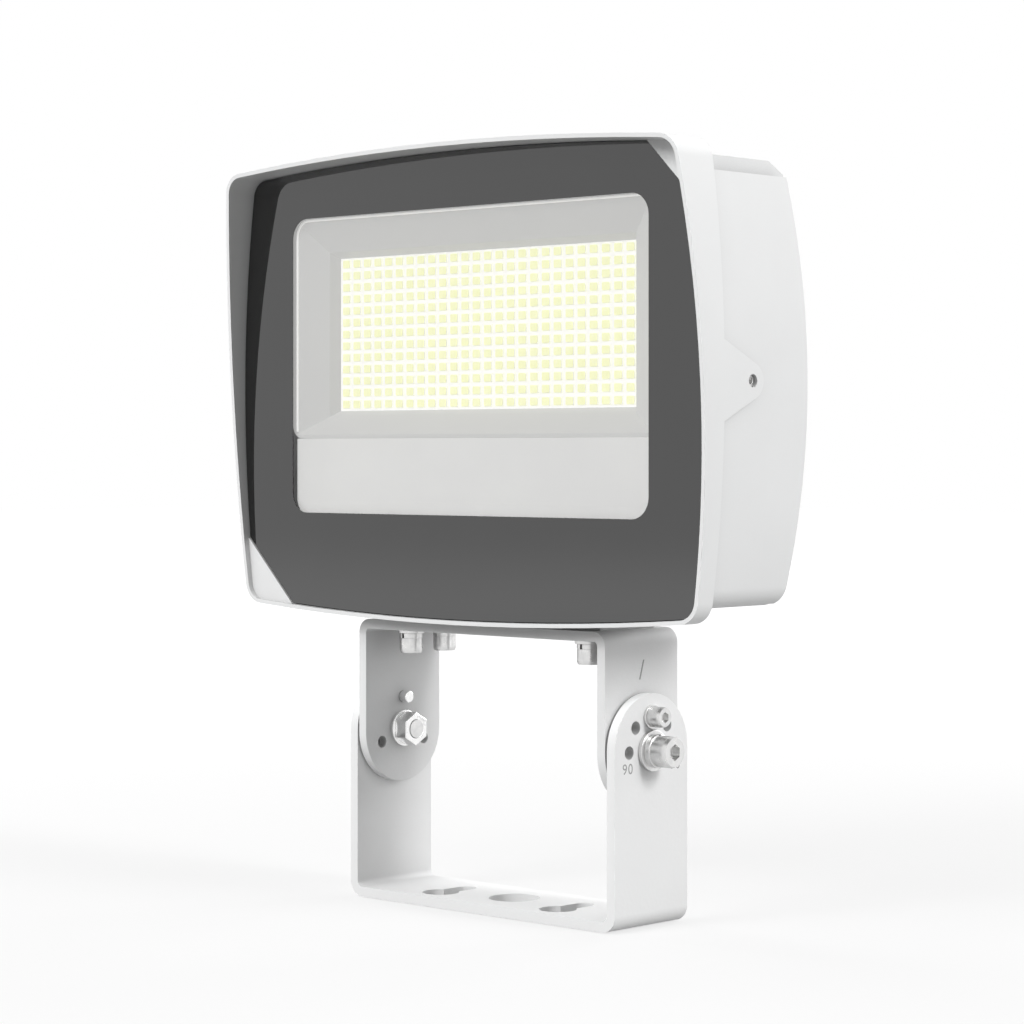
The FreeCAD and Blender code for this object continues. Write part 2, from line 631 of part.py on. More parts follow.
# The two corners, low on the left and high on the right, where the frame closes the glass opening
def cornerPrisms(name, leg, front, back):
    corners = []
    for label, side in (("Low", -1), ("High", 1)):
        x = rimHalf * side
        z = rimHigh if side > 0 else rimLow
        points = [(x, z), (x - leg * side, z), (x, z - leg * side)]
        corners.append(sketchedPad(f"{name}{label}", "XZ_Plane", -back, front - back, polygon(points)))
    return corners


# Front frame
hoodReach = d.hoodTop + d.pastFace * 4
webMiddle = webBack + d.webThick / 2
webInset = d.rimWall + d.webWide
rimOutside = bowedPlate("RimOutside", 0, hoodReach, d.rimBack)
rimInside = bowedPlate("RimInside", d.rimWall, hoodReach + d.pastFace, webFront)
webOpening = bowedPlate("WebOpening", webInset, webFront + d.pastFace, d.rimBack - d.pastFace, d.rimCorner)
skirtInset = d.bodyInset - d.earFit
skirtRecess = bowedPlate("SkirtRecess", skirtInset, webBack, d.rimBack - d.pastFace, d.bodyCorner)
rimRing = cut("RimRing", rimOutside, rimInside, webOpening, skirtRecess)


# The hood's edge is an arc through three points, seen from the side
def hoodProfile(sketch):
    low = rimLow - d.pastFace * 3
    high = rimHigh + d.pastFace * 3
    front = -hoodReach - d.pastFace
    path = [(-d.hoodTop, high), (front, high), (front, low), (-d.hoodBottom, low)]
    flat = [FreeCAD.Vector(number(u), number(v), 0) for u, v in path]
    through = FreeCAD.Vector(-number(d.hoodMiddle), number(headCentre), 0)
    for i in range(3):
        sketch.addGeometry(Part.LineSegment(flat[i], flat[i + 1]), False)
    sketch.addGeometry(Part.Arc(flat[3], through, flat[0]), False)
    sketch.addGeometry(Part.Point(through), True)
    for i in range(2):
        sketch.addConstraint(Sketcher.Constraint("Coincident", i, 2, i + 1, 1))
    edge = sketch.Geometry[3]
    startsHigh = (edge.StartPoint - flat[0]).Length < (edge.EndPoint - flat[0]).Length
    sketch.addConstraint(Sketcher.Constraint("Coincident", 0, 1, 3, 1 if startsHigh else 2))
    sketch.addConstraint(Sketcher.Constraint("Coincident", 2, 2, 3, 2 if startsHigh else 1))
    for spot, (u, v) in zip([(0, 1), (1, 1), (2, 1), (2, 2)], path):
        fix(sketch, "DistanceX", spot, u)
        fix(sketch, "DistanceY", spot, v)
    fix(sketch, "DistanceX", (4, 1), -d.hoodMiddle)
    fix(sketch, "DistanceY", (4, 1), headCentre)
    sketch.addConstraint(Sketcher.Constraint("PointOnObject", 4, 1, 3))


wholeWidth = d.rimWidth + d.pastFace * 2
leftOfRim = -rimHalf - d.pastFace
hoodCut = sketchedPad("HoodCut", "YZ_Plane", leftOfRim, wholeWidth, hoodProfile)
cornerFill = bowedPlate("CornerFill", d.rimWall / 2, d.cornerPlateFront, webMiddle)
plates = cornerPrisms("CornerPlate", d.cornerCut, d.cornerPlateFront, webMiddle)
cornerPlates = [common(f"CornerPlateFitted{i}", cornerFill, plate) for i, plate in enumerate(plates)]
# Ears on both sides lie over the housing and take a screw each
earOutside = bowedPlate("EarOutside", 0, webMiddle, -d.earApex)
earInside = bowedPlate("EarInside", skirtInset, webFront, -d.earApex - d.pastFace, d.bodyCorner)
earShell = cut("EarShell", earOutside, earInside)
earApexY = d.earApex - d.rimBack
earPoints = [(-webMiddle, headCentre - d.earHalf), (earApexY, headCentre),
             (-webMiddle, headCentre + d.earHalf)]
earWedge = sketchedPad("EarWedge", "YZ_Plane", leftOfRim, wholeWidth, polygon(earPoints))
earProfile = roundEdges("EarProfile", earWedge, d.earTip, lambda edge: (
    len(edge.Vertexes) == 2 and min(v.Y for v in edge.Vertexes) > number(earApexY) - 1e-3))
ears = common("Ears", earShell, earProfile)
earHoles = rod("EarHoles", "X", d.earHole, (leftOfRim, -d.earHoleBack, headCentre), wholeWidth)
frameBlank = fuse("FrameBlank", rimRing, ears, *cornerPlates)
keep("front_frame", cut("FrontFrame", frameBlank, hoodCut, earHoles))

# Glass, its printed border and the seal under it
glassInset = d.rimWall + d.glassGap
glassLeg = d.cornerCut + d.glassGap * math.sqrt(2)


def glassLayer(name, front, back, *openings):
    blank = bowedPlate(name + "Blank", glassInset, front, back)
    corners = cornerPrisms(name + "Corner", glassLeg, front + d.pastFace, back - d.pastFace)
    return cut(name, blank, *corners, *openings)


keep("front_glass", glassLayer("FrontGlass", glassFront, glassBack))
windowBlank = sketchedPad("WindowBlank", "XZ_Plane", d.pastFace - glassFront, d.maskThick + d.pastFace * 2,
                          rectangle(windowHalf, windowLow, windowHigh))
window = roundEdges("Window", windowBlank, d.windowCorner, runsAlongY)
keep("glass_mask", glassLayer("GlassMask", maskFront, glassFront, window))
sealOpening = bowedPlate("SealOpening", webInset, glassBack + d.pastFace, webFront - d.pastFace, d.rimCorner)
keep("glass_seal", glassLayer("GlassSeal", glassBack, webFront, sealOpening))

# Reflector tray
trayBlock = box("TrayBlock", (-trayHalf, trayHalf), (-trayFront, -boardFront), (trayLow, trayHigh))
trayRounded = roundEdges("TrayRounded", trayBlock, d.trayCorner, runsAlongY)
flareHalf = trayHalf - d.bevelEdge
floorHalf = bevelHalf - d.wallDraft
flare = frustum("TrayFlare", (-trayFront, -trayStep),
                (-flareHalf, flareHalf), (trayLow + d.bevelEdge, trayHigh - d.bevelEdge),
                (-bevelHalf, bevelHalf), (bevelLow, bevelHigh))
well = frustum("TrayWell", (-trayStep, -boardFront),
               (-bevelHalf, bevelHalf), (bevelLow, bevelHigh),
               (-floorHalf, floorHalf), (bevelLow + d.wallDraft, bevelHigh - d.wallDraft))
keep("reflector_tray", cut("ReflectorTray", trayRounded, flare, well))

# Lamp board with its chips and countersunk screws
boardMiddle = (boardLow + boardHigh) / 2
screwSpots = []
for side in (-1, 1):
    for z in (boardLow + d.boardScrewEdge, boardMiddle, boardHigh - d.boardScrewEdge):
        screwSpots.append(((boardHalf - d.boardScrewEdge) * side, z))


def boardScrewAt(name, spot, slack):
    start = (spot[0], -boardFront, spot[1])
    head = rod(name + "Head", "Y", d.boardScrewHead + slack * 2, start, d.boardScrewHeadHigh + slack)
    shank = rod(name + "Shank", "Y", d.boardScrew + slack * 2, start, d.boardScrewLong + slack)
    return fuse(name, head, shank)


boardBlank = box("BoardBlank", (-boardHalf, boardHalf), (-boardFront, -boardBack), (boardLow, boardHigh))
boardHoles = [boardScrewAt(f"BoardHole{i}", spot, d.threadClearance) for i, spot in enumerate(screwSpots)]
keep("led_board", cut("LedBoard", boardBlank, *boardHoles))
keep("board_screws", group("BoardScrews", *[
    boardScrewAt(f"BoardScrew{i}", spot, 0) for i, spot in enumerate(screwSpots)]))

# The chips fill the floor of the tray's well
chipLeft = d.wallDraft + d.chipEdgeSide - bevelHalf
chipLow = bevelLow + d.wallDraft + d.chipEdgeLow
chipSpanAcross = -chipLeft * 2 - d.chipWide
chipSpanUp = bevelHigh - d.wallDraft - d.chipEdgeHigh - d.chipHigh - chipLow
chips = []
chipSize = [number(d.chipWide), number(d.chipThick), number(d.chipHigh)]
columns = int(number(d.chipColumns))
rows = int(number(d.chipRows))
for column in range(columns):
    for row in range(rows):
        x = number(chipLeft + chipSpanAcross / (columns - 1) * column)
        z = number(chipLow + chipSpanUp / (rows - 1) * row)
        chips.append(Part.makeBox(*chipSize, FreeCAD.Vector(x, -number(boardFront) - chipSize[1], z)))
ledChips = doc.addObject("Part::Feature", "LedChips")
ledChips.Shape = Part.makeCompound(chips)
keep("led_chips", ledChips)

# Lower panel, on four posts
panelBack = trayFront - d.panelThick
panelPlate = box("PanelPlate", (-panelHalf, panelHalf), (-trayFront, -panelBack), (panelLow, panelHigh))
panelRounded = roundEdges("PanelRounded", panelPlate, d.panelCorner, lambda edge: (
    runsAlongY(edge) and abs(edge.Vertexes[0].Z - number(panelLow)) < 1e-4))
postRoot = panelBack + d.panelThick / 2
posts = []
for side in (-1, 1):
    for label, z in (("Low", panelLow + d.panelPostInset), ("High", panelHigh - d.panelPostInset)):
        posts.append(rod(f"PanelPost{label}{side + 1}", "Y", d.panelPost,
                         ((panelHalf - d.panelPostInset) * side, -postRoot, z), postRoot - boardBack))
keep("lower_panel", fuse("LowerPanel", panelRounded, *posts))

# Rear housing: a finned core between two side panels
bodyBlock = bodyPlate("BodyBlock", 0, bodyLow, bodyHigh, d.rimBack, -d.sideRear, d.bodyCorner)
crownStart = d.finRear - d.crownSlope
frontPast = -d.rimBack - d.pastFace
lowPast = bodyLow - d.pastFace
highPast = bodyHigh + d.pastFace
corePoints = [
    (frontPast, lowPast), (crownStart, lowPast), (crownStart, bodyLow), (d.finRear, bodyLow + d.crownDrop),
    (d.finRear, bodyHigh - d.crownDrop), (crownStart, bodyHigh), (crownStart, highPast),
    (frontPast, highPast),
]
coreProfile = sketchedPad("CoreProfile", "YZ_Plane", -crownHalf, crownHalf * 2, polygon(corePoints))
core = common("Core", bodyBlock, coreProfile)
rearward = d.sideRear + d.pastFace
sideBarrel = rod("SideBarrel", "X", d.sideBulge * 2, (-rimHalf, d.sideRear - d.sideBulge, headCentre),
                 d.rimWidth)
sideSlab = box("SideSlab", (-rimHalf, rimHalf), (frontPast, rearward), (shoulderLow, shoulderHigh))
betweenSides = crownHalf - d.finThick / 2
sideMiddle = box("SideMiddle", (-betweenSides, betweenSides), (frontPast - d.pastFace, rearward + d.pastFace),
                 (lowPast, highPast))
sides = cut("Sides", common("SidesWhole", bodyBlock, sideBarrel, sideSlab), sideMiddle)

finPitch = (crownHalf * 2 - d.finThick) / d.finGaps
gapWide = finPitch - d.finThick
gapSplit = bayHigh + d.bodyWall
gapTools = []
for i in range(int(number(d.finGaps))):
    left = finPitch * i + d.finThick - crownHalf
    span = (left, left + gapWide)
    gapTools.append(box(f"FinGapUpper{i}", span, (-d.finRootUpper, rearward), (gapSplit, highPast)))
    gapTools.append(box(f"FinGapLower{i}", span, (d.finRootLower, rearward), (lowPast, gapSplit)))
# The outer channels leave a side panel of even thickness
channelShape = bodyPlate("ChannelShape", d.sidePanel, lowPast, highPast, d.finRootUpper, -rearward,
                         d.bodyCorner)
channelBlock = box("ChannelBlock", (-rimHalf, rimHalf), (-d.finRootUpper, rearward),
                   (shoulderLow - d.pastFace, shoulderHigh + d.pastFace))
channelCore = box("ChannelCore", (-crownHalf, crownHalf),
                  (-d.finRootUpper - d.pastFace, rearward + d.pastFace), (lowPast, highPast))
channels = cut("Channels", common("ChannelBlank", channelShape, channelBlock), channelCore)
finned = cut("Finned", fuse("HousingBlank", core, sides), channels, *gapTools)

lampCavity = bodyPlate("LampCavity", d.bodyWall, shoulderLow + d.bodyRim, shoulderHigh - d.bodyRim,
                       d.rimBack + d.pastFace, boardBack, d.bodyCorner)
driverBay = box("DriverBay", (-bayHalf, bayHalf), (-boardBack - d.pastFace, d.bayFloor),
                (bayLow, bayHigh))
padHalf = screwX + d.padMargin
padBack = d.padMarginDeep - screwY
mountingPad = box("MountingPad", (-padHalf, padHalf), (-padBack, padBack), (bracketTop, bodyLow + d.bodyWall))
bossDepth = d.finRear - d.bayFloor
glandBoss = rod("GlandBoss", "Y", d.glandBoss, (0, d.bayFloor, glandHeight), bossDepth)
ventBoss = rod("VentBoss", "Y", d.ventBoss, (d.ventAcross, d.bayFloor, glandHeight), bossDepth)
glandHole = rod("GlandHole", "Y", d.glandThread + d.threadClearance * 2,
                (0, d.bayFloor - d.pastFace, glandHeight), bossDepth + d.pastFace * 2)
ventHole = rod("VentHole", "Y", d.ventThread + d.threadClearance * 2,
               (d.ventAcross, d.bayFloor - d.pastFace, glandHeight), bossDepth + d.pastFace * 2)
tappedHoles = atFourCorners("TappedHoles", rod(
    "TappedHole", "Z", d.bracketScrew + d.threadClearance * 2, (screwX, screwY, bracketTop - d.pastFace),
    d.bracketScrewGrip + d.pastFace * 1.5))
earScrewEnd = rimHalf - d.earScrewSunk
earScrewTip = earScrewEnd - d.earScrewLong
earBores = leftAndRight("EarBores", rod(
    "EarBore", "X", d.earScrew + d.threadClearance * 2, (earScrewTip, -d.earHoleBack, headCentre),
    rimHalf - earScrewTip))
earBossHalf = d.earHole * 1.5
earBosses = leftAndRight("EarBosses", box(
    "EarBoss", (earScrewTip - d.bodyWall, bodyHalf - d.sidePanel / 2),
    (-boardBack, earBossHalf - d.earHoleBack), (headCentre - earBossHalf, headCentre + earBossHalf)))
boardTaps = []
for i, (x, z) in enumerate(screwSpots):
    boardTaps.append(rod(f"BoardTap{i}", "Y", d.boardScrew + d.threadClearance * 2,
                         (x, -boardBack - d.pastFace, z), d.boardScrewLong + d.pastFace * 1.5 - d.boardThick))
tabMiddle = driverHalf + d.driverTab / 2
driverMiddle = (driverLow + driverHigh) / 2
driverTaps = leftAndRight("DriverTaps", rod(
    "DriverTap", "Y", d.driverScrew + d.threadClearance * 2,
    (tabMiddle, d.bayFloor - d.pastFace, driverMiddle), d.driverScrewGrip + d.pastFace * 1.2))
hollowed = cut("Hollowed", finned, lampCavity, driverBay)
bossed = fuse("Bossed", hollowed, mountingPad, glandBoss, ventBoss, earBosses)
keep("rear_housing", cut("RearHousing", bossed, glandHole, ventHole, tappedHoles, earBores, driverTaps,
                         *boardTaps))

# Housing gasket, and the screws through the frame's ears
gasketInner = d.gasketInset + d.gasketWide
gasketBlank = bodyPlate("GasketBlank", d.gasketInset, shoulderLow + d.gasketInset,
                        shoulderHigh - d.gasketInset, webBack, d.rimBack, d.bodyCorner)
gasketOpening = bodyPlate("GasketOpening", gasketInner, shoulderLow + gasketInner,
                          shoulderHigh - gasketInner, webBack + d.pastFace, d.rimBack - d.pastFace,
                          d.bodyCorner)
keep("housing_gasket", cut("HousingGasket", gasketBlank, gasketOpening))
earScrewRod = rod("EarScrewRod", "X", d.earScrew, (earScrewTip, -d.earHoleBack, headCentre), d.earScrewLong)
earScrewDrive = hexRod("EarScrewDrive", "X", d.earScrewSocket,
                       (earScrewEnd - d.earScrewSocket, -d.earHoleBack, headCentre),
                       d.earScrewSocket + d.pastFace)
keep("ear_screws", leftAndRight("EarScrews", cut("EarScrew", earScrewRod, earScrewDrive)))

# Driver on the bay floor, its screws, and the two leads up to the board
driverSeat = d.bayFloor - d.driverTabThick
driverCase = box("DriverCase", (-driverHalf, driverHalf), (-boardFront - d.driverProud, d.bayFloor),
                 (driverLow, driverHigh))
driverTabs = box("DriverTabs", (-driverHalf - d.driverTab, driverHalf + d.driverTab),
                 (driverSeat, d.bayFloor), (driverMiddle - d.driverTab, driverMiddle + d.driverTab))
tabHole = rod("DriverTabHole", "Y", d.driverScrew + d.boltClearance * 2,
              (tabMiddle, driverSeat - d.pastFace, driverMiddle), d.driverTabThick + d.pastFace * 2)
keep("led_driver", cut("LedDriver", fuse("DriverBlank", driverCase, driverTabs),
                       leftAndRight("TabHoles", tabHole)))
driverHead = rod("DriverScrewHead", "Y", d.driverScrewHead,
                 (tabMiddle, driverSeat - d.driverScrewHeadHigh, driverMiddle), d.driverScrewHeadHigh)
driverShank = rod("DriverScrewShank", "Y", d.driverScrew, (tabMiddle, driverSeat, driverMiddle),
                  d.driverTabThick + d.driverScrewGrip)
keep("driver_screws", leftAndRight("DriverScrews", fuse("DriverScrew", driverHead, driverShank)))
leadDepth = boardFront - d.boardThick / 2
lead = rod("BoardLead", "Z", d.leadThick, (d.leadSpacing / 2, -leadDepth, driverHigh), boardLow - driverHigh)
keep("board_leads", leftAndRight("BoardLeads", lead))

# Cable gland: threaded body, dome nut and rubber seal, open for a cord
glandHexEnd = d.finRear + d.glandHexThick
glandNeck = rod("GlandNeck", "Y", d.glandThread, (0, d.bayFloor, glandHeight), bossDepth)
glandHex = hexRod("GlandHex", "Y", d.glandFlats, (0, d.finRear, glandHeight), d.glandHexThick)
glandBore = rod("GlandBore", "Y", d.glandSealOuter + d.sealSlack * 2,
                (0, d.bayFloor - d.pastFace, glandHeight),
                bossDepth + d.glandHexThick + d.pastFace * 2)
keep("gland_body", cut("GlandBody", fuse("GlandBlank", glandNeck, glandHex), glandBore))
keep("gland_seal", ring("GlandSeal", "Y", d.glandSealOuter, d.sealBore, (0, d.finRear, glandHeight),
                        d.glandHexThick))
domeNut = cone("DomeNutBlank", "Y", d.glandNut, d.glandNutTip, (0, glandHexEnd, glandHeight), d.glandNutLong)
domeBore = rod("DomeNutBore", "Y", d.cordBore, (0, glandHexEnd - d.pastFace, glandHeight),
               d.glandNutLong + d.pastFace * 2)
keep("gland_nut", cut("GlandNut", domeNut, domeBore))

# Breather plug that lets the housing equalise its pressure
ventCap = hexRod("VentCap", "Y", d.ventCap, (d.ventAcross, d.finRear, glandHeight), d.ventCapThick)
ventNeck = rod("VentNeck", "Y", d.ventThread, (d.ventAcross, d.bayFloor, glandHeight), bossDepth)
keep("breather_vent", fuse("BreatherVent", ventCap, ventNeck))

doc.recompute()
for thing in doc.Objects:
    if "Invalid" in thing.State or "Error" in thing.State:
        raise RuntimeError(f"{thing.Name} failed: {thing.State}")
for node, thing in nodes.items():
    if thing.Shape.isNull() or not thing.Shape.isValid() or not thing.Shape.Solids:
        raise RuntimeError(f"{node} has no sound solid")

os.makedirs("parts", exist_ok=True)
for node, thing in nodes.items():
    thing.Shape.exportStep(f"parts/{node}.step")
    print(node, len(thing.Shape.Solids), "solid(s)", round(thing.Shape.Volume / 1000, 2), "cm3")
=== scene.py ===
import json
import math
import bpy
import bmesh
from mathutils import Euler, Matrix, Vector


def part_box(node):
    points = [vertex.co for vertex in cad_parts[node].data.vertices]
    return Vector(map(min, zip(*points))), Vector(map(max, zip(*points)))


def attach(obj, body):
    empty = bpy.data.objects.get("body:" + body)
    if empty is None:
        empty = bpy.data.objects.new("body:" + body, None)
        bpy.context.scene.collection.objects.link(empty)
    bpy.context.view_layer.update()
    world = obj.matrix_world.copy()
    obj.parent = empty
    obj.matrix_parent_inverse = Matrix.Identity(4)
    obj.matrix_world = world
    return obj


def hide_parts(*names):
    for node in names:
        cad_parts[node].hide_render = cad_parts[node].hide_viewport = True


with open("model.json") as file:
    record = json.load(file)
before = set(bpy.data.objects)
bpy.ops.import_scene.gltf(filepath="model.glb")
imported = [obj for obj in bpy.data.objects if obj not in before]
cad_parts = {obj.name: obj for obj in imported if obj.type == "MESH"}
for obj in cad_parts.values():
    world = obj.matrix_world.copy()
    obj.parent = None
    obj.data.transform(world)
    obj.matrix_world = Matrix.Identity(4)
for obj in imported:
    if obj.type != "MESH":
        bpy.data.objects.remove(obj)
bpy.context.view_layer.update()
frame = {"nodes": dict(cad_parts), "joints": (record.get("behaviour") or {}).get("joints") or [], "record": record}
scene = bpy.context.scene
scene.view_settings.view_transform = "Standard"
nodes = frame["nodes"]
record = frame["record"]
bodyOf = {node: body for body, members in record["behaviour"]["bodies"].items() for node in members}
slotOf = {row["node"]: row["material_slot"] for row in record["subparts"]}
mm = 0.001
print("frame loaded:", len(nodes), "nodes")


def grey(value):
    return (value, value, value)


def shaderNode(tree, kind, settings=None, values=None):
    node = tree.nodes.new("ShaderNode" + kind)
    for key, value in (settings or {}).items():
        setattr(node, key, value)
    for key, value in (values or {}).items():
        node.inputs[key].default_value = value
    return node


# level camera, with the yoke's base low in the picture
shot = {"place": (0.8533, -0.9104, 0.19595), "turn": 43.19, "lens": 102.06, "sensor": 36,
        "shift": -0.0588, "near": 0.01}


def makeCamera():
    lens = bpy.data.cameras.new("shotLens")
    lens.lens = shot["lens"]
    lens.sensor_width = shot["sensor"]
    lens.shift_y = shot["shift"]
    lens.clip_start = shot["near"]
    eye = bpy.data.objects.new("shotCamera", lens)
    eye.location = shot["place"]
    eye.rotation_euler = (math.pi / 2, 0, math.radians(shot["turn"]))
    scene.collection.objects.link(eye)
    scene.camera = eye


# softboxes round the light; only those beside and behind it show in glossy surfaces
softboxes = {
    "sideBox": {"place": (3.75, 1.0, 1.7), "wide": 1.6, "tall": 3.4, "power": 46, "shows": True},
    "sideHighBox": {"place": (3.4, 0.3, 2.2), "wide": 0.8, "tall": 1.4, "power": 65, "shows": True},
    "frontHighBox": {"place": (-0.4, -2.6, 3.0), "wide": 2.4, "tall": 2.4, "power": 44, "shows": False},
    "frontBox": {"place": (-0.4, -3.6, 1.85), "wide": 1.6, "tall": 1.6, "power": 86, "shows": False},
    "leftBox": {"place": (-3.8, 0.3, 1.2), "wide": 2.0, "tall": 2.0, "power": 100, "shows": True},
    "backBox": {"place": (0.3, 4.0, 1.5), "wide": 2.0, "tall": 2.0, "power": 78, "shows": True},
}
aimPoint = Vector((0, 0, 0.17))
surround = {"ambient": 0.2, "white": 1.0}
floorLook = {"reach": 14.0, "drop": 0.0004, "tone": 0.2, "fill": 0.12,
             "glowNear": 0.6, "glowFar": 0.84, "near": 0.2, "far": 2.5}


def makeLights():
    for name, box in softboxes.items():
        lamp = bpy.data.lights.new(name, "AREA")
        lamp.shape = "RECTANGLE"
        lamp.size = box["wide"]
        lamp.size_y = box["tall"]
        lamp.energy = box["power"]
        holder = bpy.data.objects.new(name, lamp)
        holder.location = box["place"]
        holder.rotation_euler = (aimPoint - holder.location).to_track_quat("-Z", "Y").to_euler()
        holder.visible_transmission = False
        holder.visible_glossy = box["shows"]
        holder.visible_camera = False
        scene.collection.objects.link(holder)


# 1 where the background is looked at, straight or in a mirror or through glass,
# and 0 where it lights a surface
def lookedAt(tree):
    path = shaderNode(tree, "LightPath")
    steps = [("MAXIMUM", "Is Glossy Ray"), ("MAXIMUM", "Is Transmission Ray"),
             ("GREATER_THAN", "Diffuse Depth")]
    seen = path.outputs["Is Camera Ray"]
    for operation, label in steps:
        step = shaderNode(tree, "Math", {"operation": operation})
        tree.links.new(seen, step.inputs[0])
        tree.links.new(path.outputs[label], step.inputs[1])
        seen = step.outputs[0]
    return seen


def makeSurround():
    world = bpy.data.worlds.new("whiteRoom")
    world.use_nodes = True
    scene.world = world
    tree = world.node_tree
    sky = tree.nodes["Background"]
    sky.inputs["Color"].default_value = (1, 1, 1, 1)
    level = shaderNode(tree, "MapRange", values={"To Min": surround["ambient"], "To Max": surround["white"]})
    tree.links.new(lookedAt(tree), level.inputs["Value"])
    tree.links.new(level.outputs["Result"], sky.inputs["Strength"])


# paper floor: it takes the light and the shadow, and glows where it is looked at
def makeFloor():
    half, z = floorLook["reach"] / 2, -floorLook["drop"]
    corners = [(-half, -half, z), (half, -half, z), (half, half, z), (-half, half, z)]
    mesh = bpy.data.meshes.new("studioFloor")
    mesh.from_pydata(corners, [], [(0, 1, 2, 3)])
    floor = bpy.data.objects.new("studioFloor", mesh)
    scene.collection.objects.link(floor)
    paper = bpy.data.materials.new("palePaper")
    paper.use_nodes = True
    tree = paper.node_tree
    tree.nodes.clear()
    links = tree.links
    out = shaderNode(tree, "OutputMaterial")
    matt = shaderNode(tree, "BsdfDiffuse", values={"Color": (*grey(floorLook["tone"]), 1)})
    glow = shaderNode(tree, "Emission")
    spot = shaderNode(tree, "TexCoord")
    away = shaderNode(tree, "VectorMath", {"operation": "LENGTH"})
    level = shaderNode(tree, "MapRange", values={
        "From Min": floorLook["near"], "From Max": floorLook["far"],
        "To Min": floorLook["glowNear"], "To Max": floorLook["glowFar"]})
    strength = shaderNode(tree, "Math", {"operation": "MULTIPLY_ADD"}, {2: floorLook["fill"]})
    both = shaderNode(tree, "AddShader")
    links.new(spot.outputs["Object"], away.inputs[0])
    links.new(away.outputs["Value"], level.inputs["Value"])
    links.new(lookedAt(tree), strength.inputs[0])
    links.new(level.outputs["Result"], strength.inputs[1])
    links.new(strength.outputs[0], glow.inputs["Strength"])
    links.new(matt.outputs[0], both.inputs[0])
    links.new(glow.outputs[0], both.inputs[1])
    links.new(both.outputs[0], out.inputs["Surface"])
    mesh.materials.append(paper)


makeCamera()
makeLights()
makeSurround()
makeFloor()
print("studio ready")


# shader groups shared by the finishes
def startGroup(name, inputs, outputs):
    group = bpy.data.node_groups.new(name, "ShaderNodeTree")
    for label, kind, value in inputs:
        socket = group.interface.new_socket(label, in_out="INPUT", socket_type="NodeSocket" + kind)
        if value is not None:
            socket.default_value = value
    for label in outputs:
        group.interface.new_socket(label, in_out="OUTPUT", socket_type="NodeSocketFloat")
    return group, group.nodes.new("NodeGroupInput"), group.nodes.new("NodeGroupOutput")


# sprayed and baked coat: fine grain, a slow orange peel and faint clouds of tone
def coatGrainGroup():
    group, given, sent = startGroup(
        "coatGrain",
        [("Vector", "Vector", None), ("Grain Scale", "Float", 1500.0), ("Peel Scale", "Float", 420.0),
         ("Cloud Scale", "Float", 14.0)],
        ["Height", "Tone", "Shine"])
    links = group.links
    grain = shaderNode(group, "TexNoise", values={"Detail": 2.0, "Roughness": 0.6})
    peel = shaderNode(group, "TexNoise", values={"Detail": 1.0, "Roughness": 0.4})
    cloud = shaderNode(group, "TexNoise", values={"Detail": 3.0, "Roughness": 0.55})
    for node, label in ((grain, "Grain Scale"), (peel, "Peel Scale"), (cloud, "Cloud Scale")):
        links.new(given.outputs["Vector"], node.inputs["Vector"])
        links.new(given.outputs[label], node.inputs["Scale"])
    height = shaderNode(group, "Math", {"operation": "MULTIPLY_ADD"}, {1: 0.45})  # grain's share, on the peel
    links.new(grain.outputs["Fac"], height.inputs[0])
    links.new(peel.outputs["Fac"], height.inputs[2])
    tone = shaderNode(group, "Math", {"operation": "MULTIPLY_ADD"}, {1: 0.35})  # grain's share, on the clouds
    links.new(grain.outputs["Fac"], tone.inputs[0])
    links.new(cloud.outputs["Fac"], tone.inputs[2])
    links.new(height.outputs[0], sent.inputs["Height"])
    links.new(tone.outputs[0], sent.inputs["Tone"])
    links.new(cloud.outputs["Fac"], sent.inputs["Shine"])
    return group


# lathe and brush marks: noise drawn out along one direction, with a few deeper scratches
def toolMarksGroup():
    group, given, sent = startGroup(
        "toolMarks",
        [("Vector", "Vector", None), ("Stretch", "Vector", (1.0, 30.0, 30.0)), ("Scale", "Float", 90.0),
         ("Spots", "Float", 350.0)],
        ["Height", "Tone", "Scratch"])
    links = group.links
    pull = shaderNode(group, "VectorMath", {"operation": "MULTIPLY"})
    links.new(given.outputs["Vector"], pull.inputs[0])
    links.new(given.outputs["Stretch"], pull.inputs[1])
    lines = shaderNode(group, "TexNoise", values={"Detail": 4.0, "Roughness": 0.65})
    links.new(pull.outputs[0], lines.inputs["Vector"])
    links.new(given.outputs["Scale"], lines.inputs["Scale"])
    spots = shaderNode(group, "TexNoise", values={"Detail": 2.0})
    links.new(given.outputs["Vector"], spots.inputs["Vector"])
    links.new(given.outputs["Spots"], spots.inputs["Scale"])
    deep = shaderNode(group, "MapRange", values={"From Min": 0.62, "From Max": 0.72})
    links.new(lines.outputs["Fac"], deep.inputs["Value"])
    tone = shaderNode(group, "Math", {"operation": "MULTIPLY_ADD"}, {1: 0.5})  # lines' share, on the spots
    links.new(lines.outputs["Fac"], tone.inputs[0])
    links.new(spots.outputs["Fac"], tone.inputs[2])
    links.new(lines.outputs["Fac"], sent.inputs["Height"])
    links.new(tone.outputs[0], sent.inputs["Tone"])
    links.new(deep.outputs["Result"], sent.inputs["Scratch"])
    return group


